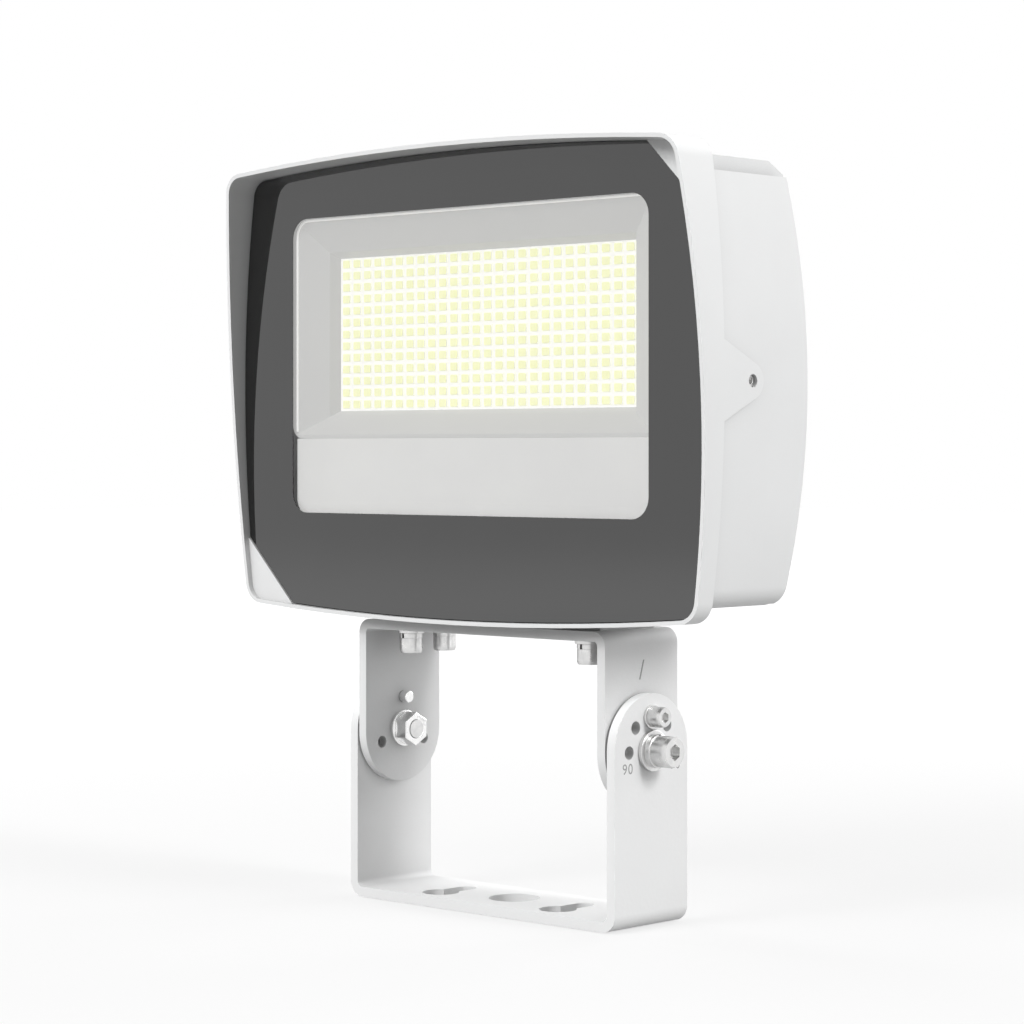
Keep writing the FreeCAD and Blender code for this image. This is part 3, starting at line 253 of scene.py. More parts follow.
# settled dust: sparse pale specks
def dustGroup():
    group, given, sent = startGroup(
        "fineDust",
        [("Vector", "Vector", None), ("Scale", "Float", 700.0), ("Amount", "Float", 0.2)],
        ["Mask"])
    links = group.links
    cells = shaderNode(group, "TexVoronoi", {"feature": "F1"})
    links.new(given.outputs["Vector"], cells.inputs["Vector"])
    links.new(given.outputs["Scale"], cells.inputs["Scale"])
    near = shaderNode(group, "MapRange", values={"From Min": 0.16, "From Max": 0.06})
    links.new(cells.outputs["Distance"], near.inputs["Value"])
    patches = shaderNode(group, "TexNoise", values={"Scale": 40.0, "Detail": 2.0})
    links.new(given.outputs["Vector"], patches.inputs["Vector"])
    spread = shaderNode(group, "MapRange", values={"From Min": 0.5, "From Max": 0.75})
    links.new(patches.outputs["Fac"], spread.inputs["Value"])
    both = shaderNode(group, "Math", {"operation": "MULTIPLY"})
    links.new(near.outputs["Result"], both.inputs[0])
    links.new(spread.outputs["Result"], both.inputs[1])
    scaled = shaderNode(group, "Math", {"operation": "MULTIPLY"})
    links.new(both.outputs[0], scaled.inputs[0])
    links.new(given.outputs["Amount"], scaled.inputs[1])
    links.new(scaled.outputs[0], sent.inputs["Mask"])
    return group


# painted shade: darkening in inner corners from ambient occlusion, broken up by noise
def cornerShadeGroup():
    group, given, sent = startGroup(
        "paintedCornerShade",
        [("Vector", "Vector", None), ("Openness", "Float", 1.0), ("Scale", "Float", 60.0)],
        ["Mask"])
    links = group.links
    hidden = shaderNode(group, "MapRange", values={"From Min": 0.97, "From Max": 0.35})
    links.new(given.outputs["Openness"], hidden.inputs["Value"])
    patches = shaderNode(group, "TexNoise", values={"Detail": 2.0})
    links.new(given.outputs["Vector"], patches.inputs["Vector"])
    links.new(given.outputs["Scale"], patches.inputs["Scale"])
    broken = shaderNode(group, "MapRange", values={"To Min": 0.85, "To Max": 1.0})
    links.new(patches.outputs["Fac"], broken.inputs["Value"])
    both = shaderNode(group, "Math", {"operation": "MULTIPLY"})
    links.new(hidden.outputs["Result"], both.inputs[0])
    links.new(broken.outputs["Result"], both.inputs[1])
    links.new(both.outputs[0], sent.inputs["Mask"])
    return group


coatGrain = coatGrainGroup()
toolMarks = toolMarksGroup()
fineDust = dustGroup()
paintedCornerShade = cornerShadeGroup()


class Finish:
    def __init__(self, name):
        self.material = bpy.data.materials.new(name)
        self.material.use_nodes = True
        self.tree = self.material.node_tree
        self.tree.nodes.clear()
        self.out = shaderNode(self.tree, "OutputMaterial")
        self.shader = shaderNode(self.tree, "BsdfPrincipled")
        self.place = shaderNode(self.tree, "TexCoord").outputs["Object"]
        self.link(self.shader.outputs[0], self.out.inputs["Surface"])

    def link(self, source, target):
        self.tree.links.new(source, target)

    def feed(self, label, source):
        self.link(source, self.shader.inputs[label])

    def set(self, **values):
        for key, value in values.items():
            self.shader.inputs[key.replace("_", " ")].default_value = value

    def use(self, group, **values):
        node = shaderNode(self.tree, "Group", {"node_tree": group})
        self.link(self.place, node.inputs["Vector"])
        for key, value in values.items():
            node.inputs[key.replace("_", " ")].default_value = value
        return node

    # painted shade mask: 1 deep in an inner corner, 0 in the open; alone leaves other pieces out of it
    def paintedShade(self, reach, alone):
        room = shaderNode(self.tree, "AmbientOcclusion", {"samples": 6, "only_local": alone},
                          {"Distance": reach})
        node = self.use(paintedCornerShade)
        self.link(room.outputs["AO"], node.inputs["Openness"])
        return node.outputs["Mask"]

    def noise(self, scale, detail=2.0):
        node = shaderNode(self.tree, "TexNoise", values={"Scale": scale, "Detail": detail})
        self.link(self.place, node.inputs["Vector"])
        return node.outputs["Fac"]

    def ramp(self, source, low, high, lowAt=0.3, highAt=0.7):
        node = shaderNode(self.tree, "MapRange", values={
            "From Min": lowAt, "From Max": highAt, "To Min": low, "To Max": high})
        self.link(source, node.inputs["Value"])
        return node.outputs["Result"]

    def colours(self, source, low, high, lowAt=0.3, highAt=0.7):
        node = shaderNode(self.tree, "Mix", {"data_type": "RGBA"}, {6: (*low, 1), 7: (*high, 1)})
        self.link(self.ramp(source, 0.0, 1.0, lowAt, highAt), node.inputs["Factor"])
        return node.outputs[2]

    def blendOver(self, under, mask, colour):
        node = shaderNode(self.tree, "Mix", {"data_type": "RGBA"}, {7: (*colour, 1)})
        self.link(under, node.inputs[6])
        self.link(mask, node.inputs["Factor"])
        return node.outputs[2]

    def bump(self, source, strength, depth):
        node = shaderNode(self.tree, "Bump", values={"Strength": strength, "Distance": depth})
        self.link(source, node.inputs["Height"])
        self.feed("Normal", node.outputs[0])


# white powder coat on steel and cast aluminium
coatBase = {"tones": (0.4, 0.95), "speck": grey(0.62), "smoother": 0.05, "rougher": 0.06, "relief": 0.12 * mm}


def powderCoat(name, look):
    finish = Finish(name)
    grain = finish.use(coatGrain, Grain_Scale=look["grain"], Peel_Scale=look["peel"])
    dust = finish.use(fineDust, Amount=look["dust"])
    base = finish.colours(grain.outputs["Tone"], look["shade"], look["tint"], *coatBase["tones"])
    # painted shade: inner corners darkened by ambient occlusion, in the coat's shade colour
    base = finish.blendOver(base, finish.paintedShade(look["shadeReach"], look["alone"]), look["shadeColour"])
    finish.feed("Base Color", finish.blendOver(base, dust.outputs["Mask"], coatBase["speck"]))
    smooth, rough = look["rough"] - coatBase["smoother"], look["rough"] + coatBase["rougher"]
    finish.feed("Roughness", finish.ramp(grain.outputs["Shine"], smooth, rough))
    finish.bump(grain.outputs["Height"], look["bump"], coatBase["relief"])
    finish.set(Specular_IOR_Level=look["gloss"])
    return finish.material


# turned steel: stainless, and a brighter copy whose extra lightness is a painted highlight
steelBase = {"tones": (0.5, 1.0), "rougher": 0.1, "bump": 0.06, "relief": 0.03 * mm}


def stainless(name, look):
    finish = Finish(name)
    marks = finish.use(toolMarks, Stretch=look["stretch"], Scale=look["scale"])
    tone = marks.outputs["Tone"]
    base = finish.colours(tone, look["dark"], look["light"], *steelBase["tones"])
    finish.feed("Base Color", finish.blendOver(base, marks.outputs["Scratch"], look["scratch"]))
    rough = look["rough"] + steelBase["rougher"]
    finish.feed("Roughness", finish.ramp(tone, rough, look["rough"], *steelBase["tones"]))
    finish.bump(marks.outputs["Height"], steelBase["bump"], steelBase["relief"])
    finish.set(Metallic=1.0)
    return finish.material


# toughened glass, with faint smears; lamps shine through it
glassLook = {"smear": 22.0, "dull": grey(0.975), "clean": (0.99, 0.99, 0.988), "haze": 0.012,
             "hazeSpan": (0.45, 0.8), "bend": 1.5, "passes": (0.945, 0.945, 0.942)}


def clearGlass(name):
    finish = Finish(name)
    smear = finish.noise(glassLook["smear"], detail=3.0)
    finish.feed("Base Color", finish.colours(smear, glassLook["dull"], glassLook["clean"]))
    finish.feed("Roughness", finish.ramp(smear, 0.0, glassLook["haze"], *glassLook["hazeSpan"]))
    finish.set(IOR=glassLook["bend"], Transmission_Weight=1.0)
    path = shaderNode(finish.tree, "LightPath")
    clear = shaderNode(finish.tree, "BsdfTransparent", values={"Color": (*glassLook["passes"], 1)})
    mix = shaderNode(finish.tree, "MixShader")
    finish.link(path.outputs["Is Shadow Ray"], mix.inputs[0])
    finish.link(finish.shader.outputs[0], mix.inputs[1])
    finish.link(clear.outputs[0], mix.inputs[2])
    finish.link(mix.outputs[0], finish.out.inputs["Surface"])
    return finish.material


# black border fired on to the glass
borderLook = {"cloud": 30.0, "dark": grey(0.0032), "light": grey(0.0052), "rough": (0.035, 0.06),
              "dustScale": 520.0, "dust": 0.05, "speck": grey(0.2), "bend": 1.85}


def blackPrint(name):
    finish = Finish(name)
    cloud = finish.noise(borderLook["cloud"], detail=3.0)
    dust = finish.use(fineDust, Scale=borderLook["dustScale"], Amount=borderLook["dust"])
    base = finish.colours(cloud, borderLook["dark"], borderLook["light"])
    finish.feed("Base Color", finish.blendOver(base, dust.outputs["Mask"], borderLook["speck"]))
    finish.feed("Roughness", finish.ramp(cloud, *borderLook["rough"]))
    finish.set(IOR=borderLook["bend"])
    return finish.material


# moulded plastic and rubber, with the grain of the mould
mouldBase = {"tones": (0.4, 0.95), "speck": grey(0.5), "wander": 0.06, "relief": 0.1 * mm, "peel": 0.35,
             "cloud": 20.0, "glowTint": (1.0, 1.0, 0.98)}


def moulded(name, look):
    finish = Finish(name)
    grain = finish.use(coatGrain, Grain_Scale=look["grain"], Peel_Scale=look["grain"] * mouldBase["peel"],
                       Cloud_Scale=mouldBase["cloud"])
    dust = finish.use(fineDust, Amount=look["dust"])
    base = finish.colours(grain.outputs["Tone"], look["dark"], look["light"], *mouldBase["tones"])
    finish.feed("Base Color", finish.blendOver(base, dust.outputs["Mask"], mouldBase["speck"]))
    smooth, rough = look["rough"] - mouldBase["wander"], look["rough"] + mouldBase["wander"]
    finish.feed("Roughness", finish.ramp(grain.outputs["Shine"], smooth, rough))
    finish.bump(grain.outputs["Height"], look["bump"], mouldBase["relief"])
    # an even glow; on the tray, the lower panel and the bead it is painted light
    finish.set(Emission_Color=(*mouldBase["glowTint"], 1), Emission_Strength=look.get("glow", 0.0))
    return finish.material


# lamp board: white between the chips, with painted light round each chip: a warmer colour and a glow, though the
# board is no lamp
boardLook = {"warm": (0.76, 0.76, 0.66), "warmToo": (0.75, 0.755, 0.68), "white": (0.77, 0.77, 0.765),
             "band": 1.1 * mm, "warmGlow": (1.0, 1.0, 0.7), "whiteGlow": (1.0, 1.0, 0.99), "glow": 0.37,
             "grain": 260.0, "rough": (0.4, 0.55)}


def lampBoard(name):
    finish = Finish(name)
    cells = shaderNode(finish.tree, "TexBrick", {"offset": 0.0}, {
        "Scale": 1.0, "Mortar Size": boardLook["band"], "Mortar Smooth": 1.0,
        "Brick Width": chipPitch[0], "Row Height": chipPitch[1], "Color1": (*boardLook["warm"], 1),
        "Color2": (*boardLook["warmToo"], 1), "Mortar": (*boardLook["white"], 1)})
    turn = shaderNode(finish.tree, "Mapping", values={
        "Rotation": (-math.pi / 2, 0, 0), "Location": (0, chipPitch[1] / 2 - chipMiddle.z, 0)})
    finish.link(finish.place, turn.inputs["Vector"])
    finish.link(turn.outputs[0], cells.inputs["Vector"])
    finish.feed("Base Color", cells.outputs["Color"])
    finish.feed("Roughness", finish.ramp(finish.noise(boardLook["grain"]), *boardLook["rough"]))
    # painted light: the whole board glows, warmer round each chip
    glow = finish.colours(cells.outputs["Fac"], boardLook["warmGlow"], boardLook["whiteGlow"])
    finish.feed("Emission Color", glow)
    finish.set(Emission_Strength=boardLook["glow"])
    return finish.material


# lit phosphor, each chip a little different
phosphorLook = {"cells": 190.0, "grain": 150.0, "dark": (0.74, 0.75, 0.40), "light": (0.78, 0.79, 0.46),
                "paleGlow": (1.0, 1.0, 0.76), "deepGlow": (0.98, 1.0, 0.66), "glowSpan": (0.1, 0.7),
                "glow": 0.34, "rough": (0.2, 0.3)}


def phosphor(name):
    finish = Finish(name)
    cells = shaderNode(finish.tree, "TexVoronoi", {"feature": "F1"}, {"Scale": phosphorLook["cells"]})
    finish.link(finish.place, cells.inputs["Vector"])
    tint = finish.noise(phosphorLook["grain"])
    finish.feed("Base Color", finish.colours(tint, phosphorLook["dark"], phosphorLook["light"]))
    glow = finish.colours(cells.outputs["Distance"], phosphorLook["paleGlow"], phosphorLook["deepGlow"],
                          *phosphorLook["glowSpan"])
    finish.feed("Emission Color", glow)
    finish.feed("Roughness", finish.ramp(tint, *phosphorLook["rough"]))
    finish.set(Emission_Strength=phosphorLook["glow"])
    return finish.material


# two leads, red on the right and black on the left
leadLook = {"black": grey(0.02), "red": (0.42, 0.03, 0.025), "change": 0.1 * mm, "grain": 900.0,
            "rough": (0.35, 0.5)}


def leadSleeve(name):
    finish = Finish(name)
    split = shaderNode(finish.tree, "SeparateXYZ")
    finish.link(finish.place, split.inputs[0])
    change = leadLook["change"]
    base = finish.colours(split.outputs["X"], leadLook["black"], leadLook["red"], -change, change)
    finish.feed("Base Color", base)
    finish.feed("Roughness", finish.ramp(finish.noise(leadLook["grain"]), *leadLook["rough"]))
    return finish.material


# grey ink of the dial and the index lines
inkLook = {"grain": 1600.0, "dark": grey(0.3), "light": grey(0.42), "rough": (0.5, 0.7)}


def printInk(name):
    finish = Finish(name)
    grain = finish.noise(inkLook["grain"], detail=3.0)
    finish.feed("Base Color", finish.colours(grain, inkLook["dark"], inkLook["light"]))
    finish.feed("Roughness", finish.ramp(grain, *inkLook["rough"]))
    return finish.material


# the chips' grid, which the board's pattern follows
chipSizes = {"across": 26, "up": 13, "width": 4.2 * mm, "height": 3.3 * mm, "body": 0.42 * mm,
             "lensWidth": 4.14 * mm, "lensHeight": 3.24 * mm, "lens": 0.18 * mm}
chipLow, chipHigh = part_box("led_chips")
chipMiddle = (chipLow + chipHigh) / 2
chipPitch = ((chipHigh.x - chipLow.x - chipSizes["width"]) / (chipSizes["across"] - 1),
             (chipHigh.z - chipLow.z - chipSizes["height"]) / (chipSizes["up"] - 1))

# the last three entries of each coat set its painted shade in inner corners: its reach, whether other pieces
# count, and its colour
bracketLook = {
    "shade": grey(0.87), "tint": (0.915, 0.92, 0.92), "rough": 0.48, "grain": 1700.0, "peel": 520.0,
    "bump": 0.35, "dust": 0.10, "gloss": 0.4, "shadeReach": 30 * mm, "alone": True, "shadeColour": grey(0.58)}
# darker copy of the bracket coat for the upper bracket: painted shade from the head above it
shadedBracketLook = dict(bracketLook, shade=grey(0.82), tint=(0.865, 0.87, 0.87), shadeReach=16 * mm, alone=False)
castLook = {
    "shade": (0.795, 0.80, 0.80), "tint": (0.845, 0.85, 0.85), "rough": 0.44, "grain": 1900.0, "peel": 460.0,
    "bump": 0.22, "dust": 0.08, "gloss": 0.4, "shadeReach": 12 * mm, "alone": False, "shadeColour": grey(0.48)}
frameLook = {
    "shade": (0.81, 0.815, 0.815), "tint": (0.855, 0.86, 0.86), "rough": 0.36, "grain": 2100.0, "peel": 380.0,
    "bump": 0.16, "dust": 0.06, "gloss": 0.45, "shadeReach": 6 * mm, "alone": False, "shadeColour": grey(0.62)}
steelLook = {
    "stretch": (30.0, 1.0, 1.0), "scale": 60.0, "dark": grey(0.64), "light": (0.76, 0.757, 0.75),
    "scratch": grey(0.55), "rough": 0.26}
# brighter copy of the steel: its lighter colour is a painted highlight
brighterSteelLook = dict(steelLook, dark=grey(0.86), light=(0.95, 0.95, 0.945), rough=0.18)
finishes = {
    "bracket_paint": powderCoat("bracketCoat", bracketLook),
    "housing_paint": powderCoat("housingCoat", castLook),
    "frame_paint": powderCoat("frameCoat", frameLook),
    "stainless": stainless("stainlessSteel", steelLook),
    "clear_glass": clearGlass("frontGlass"),
    "black_print": blackPrint("blackBorder"),
    "seal_rubber": moulded("sealRubber", {
        "dark": grey(0.018), "light": grey(0.035), "rough": 0.7, "grain": 1300.0, "bump": 0.3, "dust": 0.15}),
    # painted light: the tray is a dark grey that glows evenly, standing in for the light on it
    "tray_white": moulded("trayWhite", {
        "dark": grey(0.22), "light": grey(0.245), "rough": 0.42, "grain": 1800.0, "bump": 0.12, "dust": 0.03,
        "glow": 0.36}),
    "board_white": lampBoard("lampBoard"),
    "chip_phosphor": phosphor("chipPhosphor"),
    "driver_case": moulded("driverCase", {
        "dark": grey(0.04), "light": grey(0.075), "rough": 0.5, "grain": 1200.0, "bump": 0.3, "dust": 0.1}),
    "lead_sleeve": leadSleeve("leadSleeve"),
    "gland_plastic": moulded("glandPlastic", {
        "dark": grey(0.03), "light": grey(0.06), "rough": 0.42, "grain": 1500.0, "bump": 0.25, "dust": 0.1}),
}
chipCeramic = moulded("chipCeramic", {
    "dark": grey(0.74), "light": (0.78, 0.78, 0.74), "rough": 0.4, "grain": 2600.0, "bump": 0.1, "dust": 0.0,
    "glow": 0.36})
# painted light: the lower panel glows faintly though it is no lamp
panelWhite = moulded("panelWhite", {
    "dark": grey(0.70), "light": (0.765, 0.765, 0.755), "rough": 0.42, "grain": 1800.0, "bump": 0.12,
    "dust": 0.03, "glow": 0.12})
# painted highlight: the bead glows to show a bright lit rim
beadWhite = moulded("beadWhite", {
    "dark": grey(0.66), "light": grey(0.72), "rough": 0.3, "grain": 2000.0, "bump": 0.05, "dust": 0.0,
    "glow": 0.5})
markInk = printInk("markInk")
finishOf = {node: finishes[slot] for node, slot in slotOf.items()}
finishOf["lower_panel"] = panelWhite
# the upper bracket wears the darker, painted-shade copy of the bracket coat
finishOf["upper_bracket"] = powderCoat("shadedBracketCoat", shadedBracketLook)
# nuts, inner washers and index pins take the brighter copy, a painted highlight
brighterSteel = stainless("brighterSteel", brighterSteelLook)
for name in ("pivot_nuts", "pivot_inner_washers", "index_pins"):
    finishOf[name] = brighterSteel
for name, node in nodes.items():
    for holder in node.material_slots:
        holder.material = finishOf[name]
print("finishes ready:", len(finishes))


# pieces and their meshes
def newPiece(name, mesh, material):
    piece = bpy.data.objects.new(name, mesh)
    mesh.materials.clear()
    mesh.materials.append(material)
    scene.collection.objects.link(piece)
    return piece


def settle(piece):
    bpy.context.view_layer.update()
    graph = bpy.context.evaluated_depsgraph_get()
    mesh = bpy.data.meshes.new_from_object(piece.evaluated_get(graph), depsgraph=graph)
    piece.modifiers.clear()
    piece.data = mesh
    return mesh


def smoothBelow(mesh, angle):
    mesh.shade_smooth()
    mesh.set_sharp_from_angle(angle=math.radians(angle))


# a copy of a solid with its sharp edges eased; angles in degrees
easing = {"weld": 3e-6, "flat": 0.4, "sharp": 28, "segments": 2}


def makeEased(node, name, width):
    mesh = nodes[node].data.copy()
    work = bmesh.new()
    work.from_mesh(mesh)
    bmesh.ops.remove_doubles(work, verts=work.verts, dist=easing["weld"])
    bmesh.ops.dissolve_limit(work, angle_limit=math.radians(easing["flat"]), verts=work.verts,
                             edges=work.edges)
    work.to_mesh(mesh)
    work.free()
    if "custom_normal" in mesh.attributes:
        mesh.attributes.remove(mesh.attributes["custom_normal"])
    smoothBelow(mesh, easing["sharp"])
    piece = newPiece(name, mesh, finishOf[node])
    ease = piece.modifiers.new("easedEdges", "BEVEL")
    ease.width = width
    ease.segments = easing["segments"]
    ease.limit_method = "ANGLE"
    ease.angle_limit = math.radians(easing["sharp"])
    ease.harden_normals = True
    settle(piece)
    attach(piece, bodyOf[node])
    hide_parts(node)


easedPieces = {
    "yoke_bracket": ("yokeStrap", 0.5 * mm),
    "upper_bracket": ("tiltBracket", 0.35 * mm),
    "front_frame": ("hoodedFrame", 0.55 * mm),
    "rear_housing": ("finnedHousing", 0.5 * mm),
    "pivot_flat_washers": ("pivotWashers", 0.25 * mm),
    "pivot_spring_washers": ("pivotSplitWashers", 0.3 * mm),
    "pivot_inner_washers": ("pivotNutWashers", 0.25 * mm),
    "pivot_nuts": ("pivotHexNuts", 0.45 * mm),
    "lock_washers_right": ("lockWashersRight", 0.15 * mm),
    "lock_washers_left": ("lockWashersLeft", 0.15 * mm),
    "index_pins": ("indexPins", 0.5 * mm),
    "bracket_flat_washers": ("bracketWashers", 0.25 * mm),
    "bracket_spring_washers": ("bracketSplitWashers", 0.25 * mm),
    "ear_screws": ("earSetScrews", 0.3 * mm),
    "reflector_tray": ("lampTray", 0.2 * mm),
    "lower_panel": ("lowerPanel", 0.2 * mm),
    "gland_body": ("glandBody", 0.4 * mm),
    "gland_nut": ("glandDomeNut", 0.7 * mm),
    "breather_vent": ("breatherPlug", 0.5 * mm),
}
for node, (name, width) in easedPieces.items():
    makeEased(node, name, width)
print("eased pieces:", len(easedPieces))


# geometry node trees
def startTree(name, inputs):
    tree = bpy.data.node_groups.new(name, "GeometryNodeTree")
    tree.interface.new_socket("Geometry", in_out="INPUT", socket_type="NodeSocketGeometry")
    for label, kind in inputs:
        tree.interface.new_socket(label, in_out="INPUT", socket_type="NodeSocket" + kind)
    tree.interface.new_socket("Geometry", in_out="OUTPUT", socket_type="NodeSocketGeometry")
    return tree, tree.nodes.new("NodeGroupInput").outputs, tree.nodes.new("NodeGroupOutput").inputs


def geoNode(tree, kind, settings=None, values=None, links=None):
    node = tree.nodes.new(kind)
    for key, value in (settings or {}).items():
        setattr(node, key, value)
    for key, value in (values or {}).items():
        node.inputs[key].default_value = value
    for key, source in (links or {}).items():
        tree.links.new(source, node.inputs[key])
    return node


# the last step of each tree
def coatedTree(tree, geometry, given, sent):
    coated = geoNode(tree, "GeometryNodeSetMaterial",
                     links={"Geometry": geometry, "Material": given["Material"]})
    tree.links.new(coated.outputs[0], sent["Geometry"])
    return tree


def maths(tree, operation, first, second):
    node = geoNode(tree, "ShaderNodeMath", {"operation": operation})
    for index, value in enumerate((first, second)):
        if isinstance(value, (int, float)):
            node.inputs[index].default_value = value
        else:
            tree.links.new(value, node.inputs[index])
    return node.outputs[0]


def grow(piece, tree, values, material, smoothAngle):
    modifier = piece.modifiers.new(tree.name, "NODES")
    modifier.node_group = tree
    sockets = {item.name: item.identifier for item in tree.interface.items_tree
               if item.item_type == "SOCKET" and item.in_out == "INPUT"}
    for label, value in values.items():
        modifier[sockets[label]] = value
    modifier[sockets["Material"]] = material
    smoothBelow(settle(piece), smoothAngle)


# socket screw: knurled head with a chamfered top and a hexagon socket, standing on each point
def socketScrewTree():
    tree, given, sent = startTree("socketScrew", [
        ("Head Radius", "Float"), ("Head Height", "Float"), ("Socket Radius", "Float"),
        ("Socket Depth", "Float"), ("Shank Radius", "Float"), ("Shank Length", "Float"),
        ("Knurl", "Float"), ("Chamfer", "Float"), ("Material", "Material")])
    head = geoNode(tree, "GeometryNodeMeshCylinder", values={"Vertices": 72, "Side Segments": 7},
                   links={"Radius": given["Head Radius"], "Depth": given["Head Height"]})
    where = geoNode(tree, "GeometryNodeInputPosition").outputs[0]
    parts = geoNode(tree, "ShaderNodeSeparateXYZ", links={0: where})
    flat = geoNode(tree, "ShaderNodeCombineXYZ", links={0: parts.outputs[0], 1: parts.outputs[1]})
    half = maths(tree, "MULTIPLY", given["Head Height"], 0.5)
    nearTop = maths(tree, "SUBTRACT", half, 0.01 * mm)
    onTop = maths(tree, "GREATER_THAN", parts.outputs[2], nearTop)
    inward = maths(tree, "MULTIPLY", given["Chamfer"], -1.0)
    pull = geoNode(tree, "ShaderNodeVectorMath", {"operation": "SCALE"},
                   links={0: flat.outputs[0], "Scale": inward})
    chamfered = geoNode(tree, "GeometryNodeSetPosition", links={
        "Geometry": head.outputs["Mesh"], "Selection": onTop, "Offset": pull.outputs[0]})
    index = geoNode(tree, "GeometryNodeInputIndex").outputs[0]
    odd = maths(tree, "MODULO", index, 2)
    onSide = maths(tree, "SUBTRACT", 1.0, onTop)
    cutIn = maths(tree, "DIVIDE", maths(tree, "MULTIPLY", given["Knurl"], -1.0), given["Head Radius"])
    groove = geoNode(tree, "ShaderNodeVectorMath", {"operation": "SCALE"},
                     links={0: flat.outputs[0], "Scale": cutIn})
    knurled = geoNode(tree, "GeometryNodeSetPosition", links={
        "Geometry": chamfered.outputs[0], "Selection": maths(tree, "MULTIPLY", odd, onSide),
        "Offset": groove.outputs[0]})
    socketLength = maths(tree, "MULTIPLY", given["Socket Depth"], 2)  # half of it stands above the head
    socket = geoNode(tree, "GeometryNodeMeshCylinder", values={"Vertices": 6},
                     links={"Radius": given["Socket Radius"], "Depth": socketLength})
    raised = geoNode(tree, "ShaderNodeCombineXYZ", links={2: half})
    socketUp = geoNode(tree, "GeometryNodeTransform", links={"Geometry": socket.outputs["Mesh"],
                                                             "Translation": raised.outputs[0]})
    drilled = geoNode(tree, "GeometryNodeMeshBoolean", {"operation": "DIFFERENCE"}, links={
        "Mesh 1": knurled.outputs[0], "Mesh 2": socketUp.outputs[0]})
    seated = geoNode(tree, "GeometryNodeTransform", links={"Geometry": drilled.outputs[0],
                                                           "Translation": raised.outputs[0]})
    shank = geoNode(tree, "GeometryNodeMeshCylinder", values={"Vertices": 32},
                    links={"Radius": given["Shank Radius"], "Depth": given["Shank Length"]})
    shankMiddle = maths(tree, "MULTIPLY", given["Shank Length"], -0.5)
    below = geoNode(tree, "ShaderNodeCombineXYZ", links={2: shankMiddle})
    shankDown = geoNode(tree, "GeometryNodeTransform", links={"Geometry": shank.outputs["Mesh"],
                                                              "Translation": below.outputs[0]})
    screw = geoNode(tree, "GeometryNodeJoinGeometry")
    tree.links.new(shankDown.outputs[0], screw.inputs[0])
    tree.links.new(seated.outputs[0], screw.inputs[0])
    aim = geoNode(tree, "GeometryNodeInputNamedAttribute", {"data_type": "FLOAT_VECTOR"}, {"Name": "aim"})
    turned = geoNode(tree, "FunctionNodeAlignRotationToVector", {"axis": "Z"},
                     links={"Vector": aim.outputs[0]})
    placed = geoNode(tree, "GeometryNodeInstanceOnPoints", links={
        "Points": given["Geometry"], "Instance": screw.outputs[0], "Rotation": turned.outputs[0]})
    real = geoNode(tree, "GeometryNodeRealizeInstances", links={"Geometry": placed.outputs[0]})
    return coatedTree(tree, real.outputs[0], given, sent)


def pointsPiece(name, spots):
    mesh = bpy.data.meshes.new(name)
    mesh.from_pydata([spot for spot, aim in spots], [], [])
    attribute = mesh.attributes.new("aim", "FLOAT_VECTOR", "POINT")
    for item, (spot, aim) in zip(attribute.data, spots):
        item.vector = aim
    return newPiece(name, mesh, finishes["stainless"])


screwTree = socketScrewTree()
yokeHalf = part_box("yoke_bracket")[1].x
pivotZ = frame["joints"][0]["pos_m"][2]
lockZ = sum(v.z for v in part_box("lock_screw_right")) / 2
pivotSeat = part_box("pivot_spring_washers")[1].x
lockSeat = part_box("lock_washers_right")[1].x
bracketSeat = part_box("bracket_spring_washers")[0].z
screwLow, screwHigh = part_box("bracket_screws")
nutStack = 8.7 * mm  # washer, nut and the bolt's end
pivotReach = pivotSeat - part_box("pivot_inner_washers")[1].x + nutStack
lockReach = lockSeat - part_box("lock_screw_right")[0].x
pivotScrew = {"Head Radius": 6.5 * mm, "Head Height": 8 * mm, "Socket Radius": 3.464 * mm,
              "Socket Depth": 4 * mm, "Shank Radius": 4 * mm, "Shank Length": pivotReach,
              "Knurl": 0.1 * mm, "Chamfer": 0.09}
lockScrew = {"Head Radius": 4.25 * mm, "Head Height": 5 * mm, "Socket Radius": 2.309 * mm,
             "Socket Depth": 2.6 * mm, "Shank Radius": 2.5 * mm, "Shank Length": lockReach,
             "Knurl": 0.08 * mm, "Chamfer": 0.1}
bracketScrew = {"Head Radius": 5 * mm, "Head Height": bracketSeat - screwLow.z, "Socket Radius": 2.887 * mm,
                "Socket Depth": 3 * mm, "Shank Radius": 3 * mm, "Shank Length": screwHigh.z - bracketSeat,
                "Knurl": 0.09 * mm, "Chamfer": 0.1}


def growScrews(name, node, spots, look):
    piece = pointsPiece(name, spots)
    grow(piece, screwTree, look, finishes["stainless"], smoothAngle=32)
    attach(piece, bodyOf[node])
    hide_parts(node)


growScrews("pivotBolts", "pivot_bolts", [
    ((side * pivotSeat, 0, pivotZ), (side, 0, 0)) for side in (-1, 1)], pivotScrew)
growScrews("lockScrewRight", "lock_screw_right", [((lockSeat, 0, lockZ), (1, 0, 0))], lockScrew)
growScrews("lockScrewLeft", "lock_screw_left", [((-lockSeat, 0, lockZ), (-1, 0, 0))], lockScrew)
reach = bracketScrew["Head Radius"]
growScrews("bracketScrews", "bracket_screws", [
    ((x, y, bracketSeat), (0, 0, -1)) for x in (screwLow.x + reach, screwHigh.x - reach)
    for y in (screwLow.y + reach, screwHigh.y - reach)], bracketScrew)
print("screws grown")


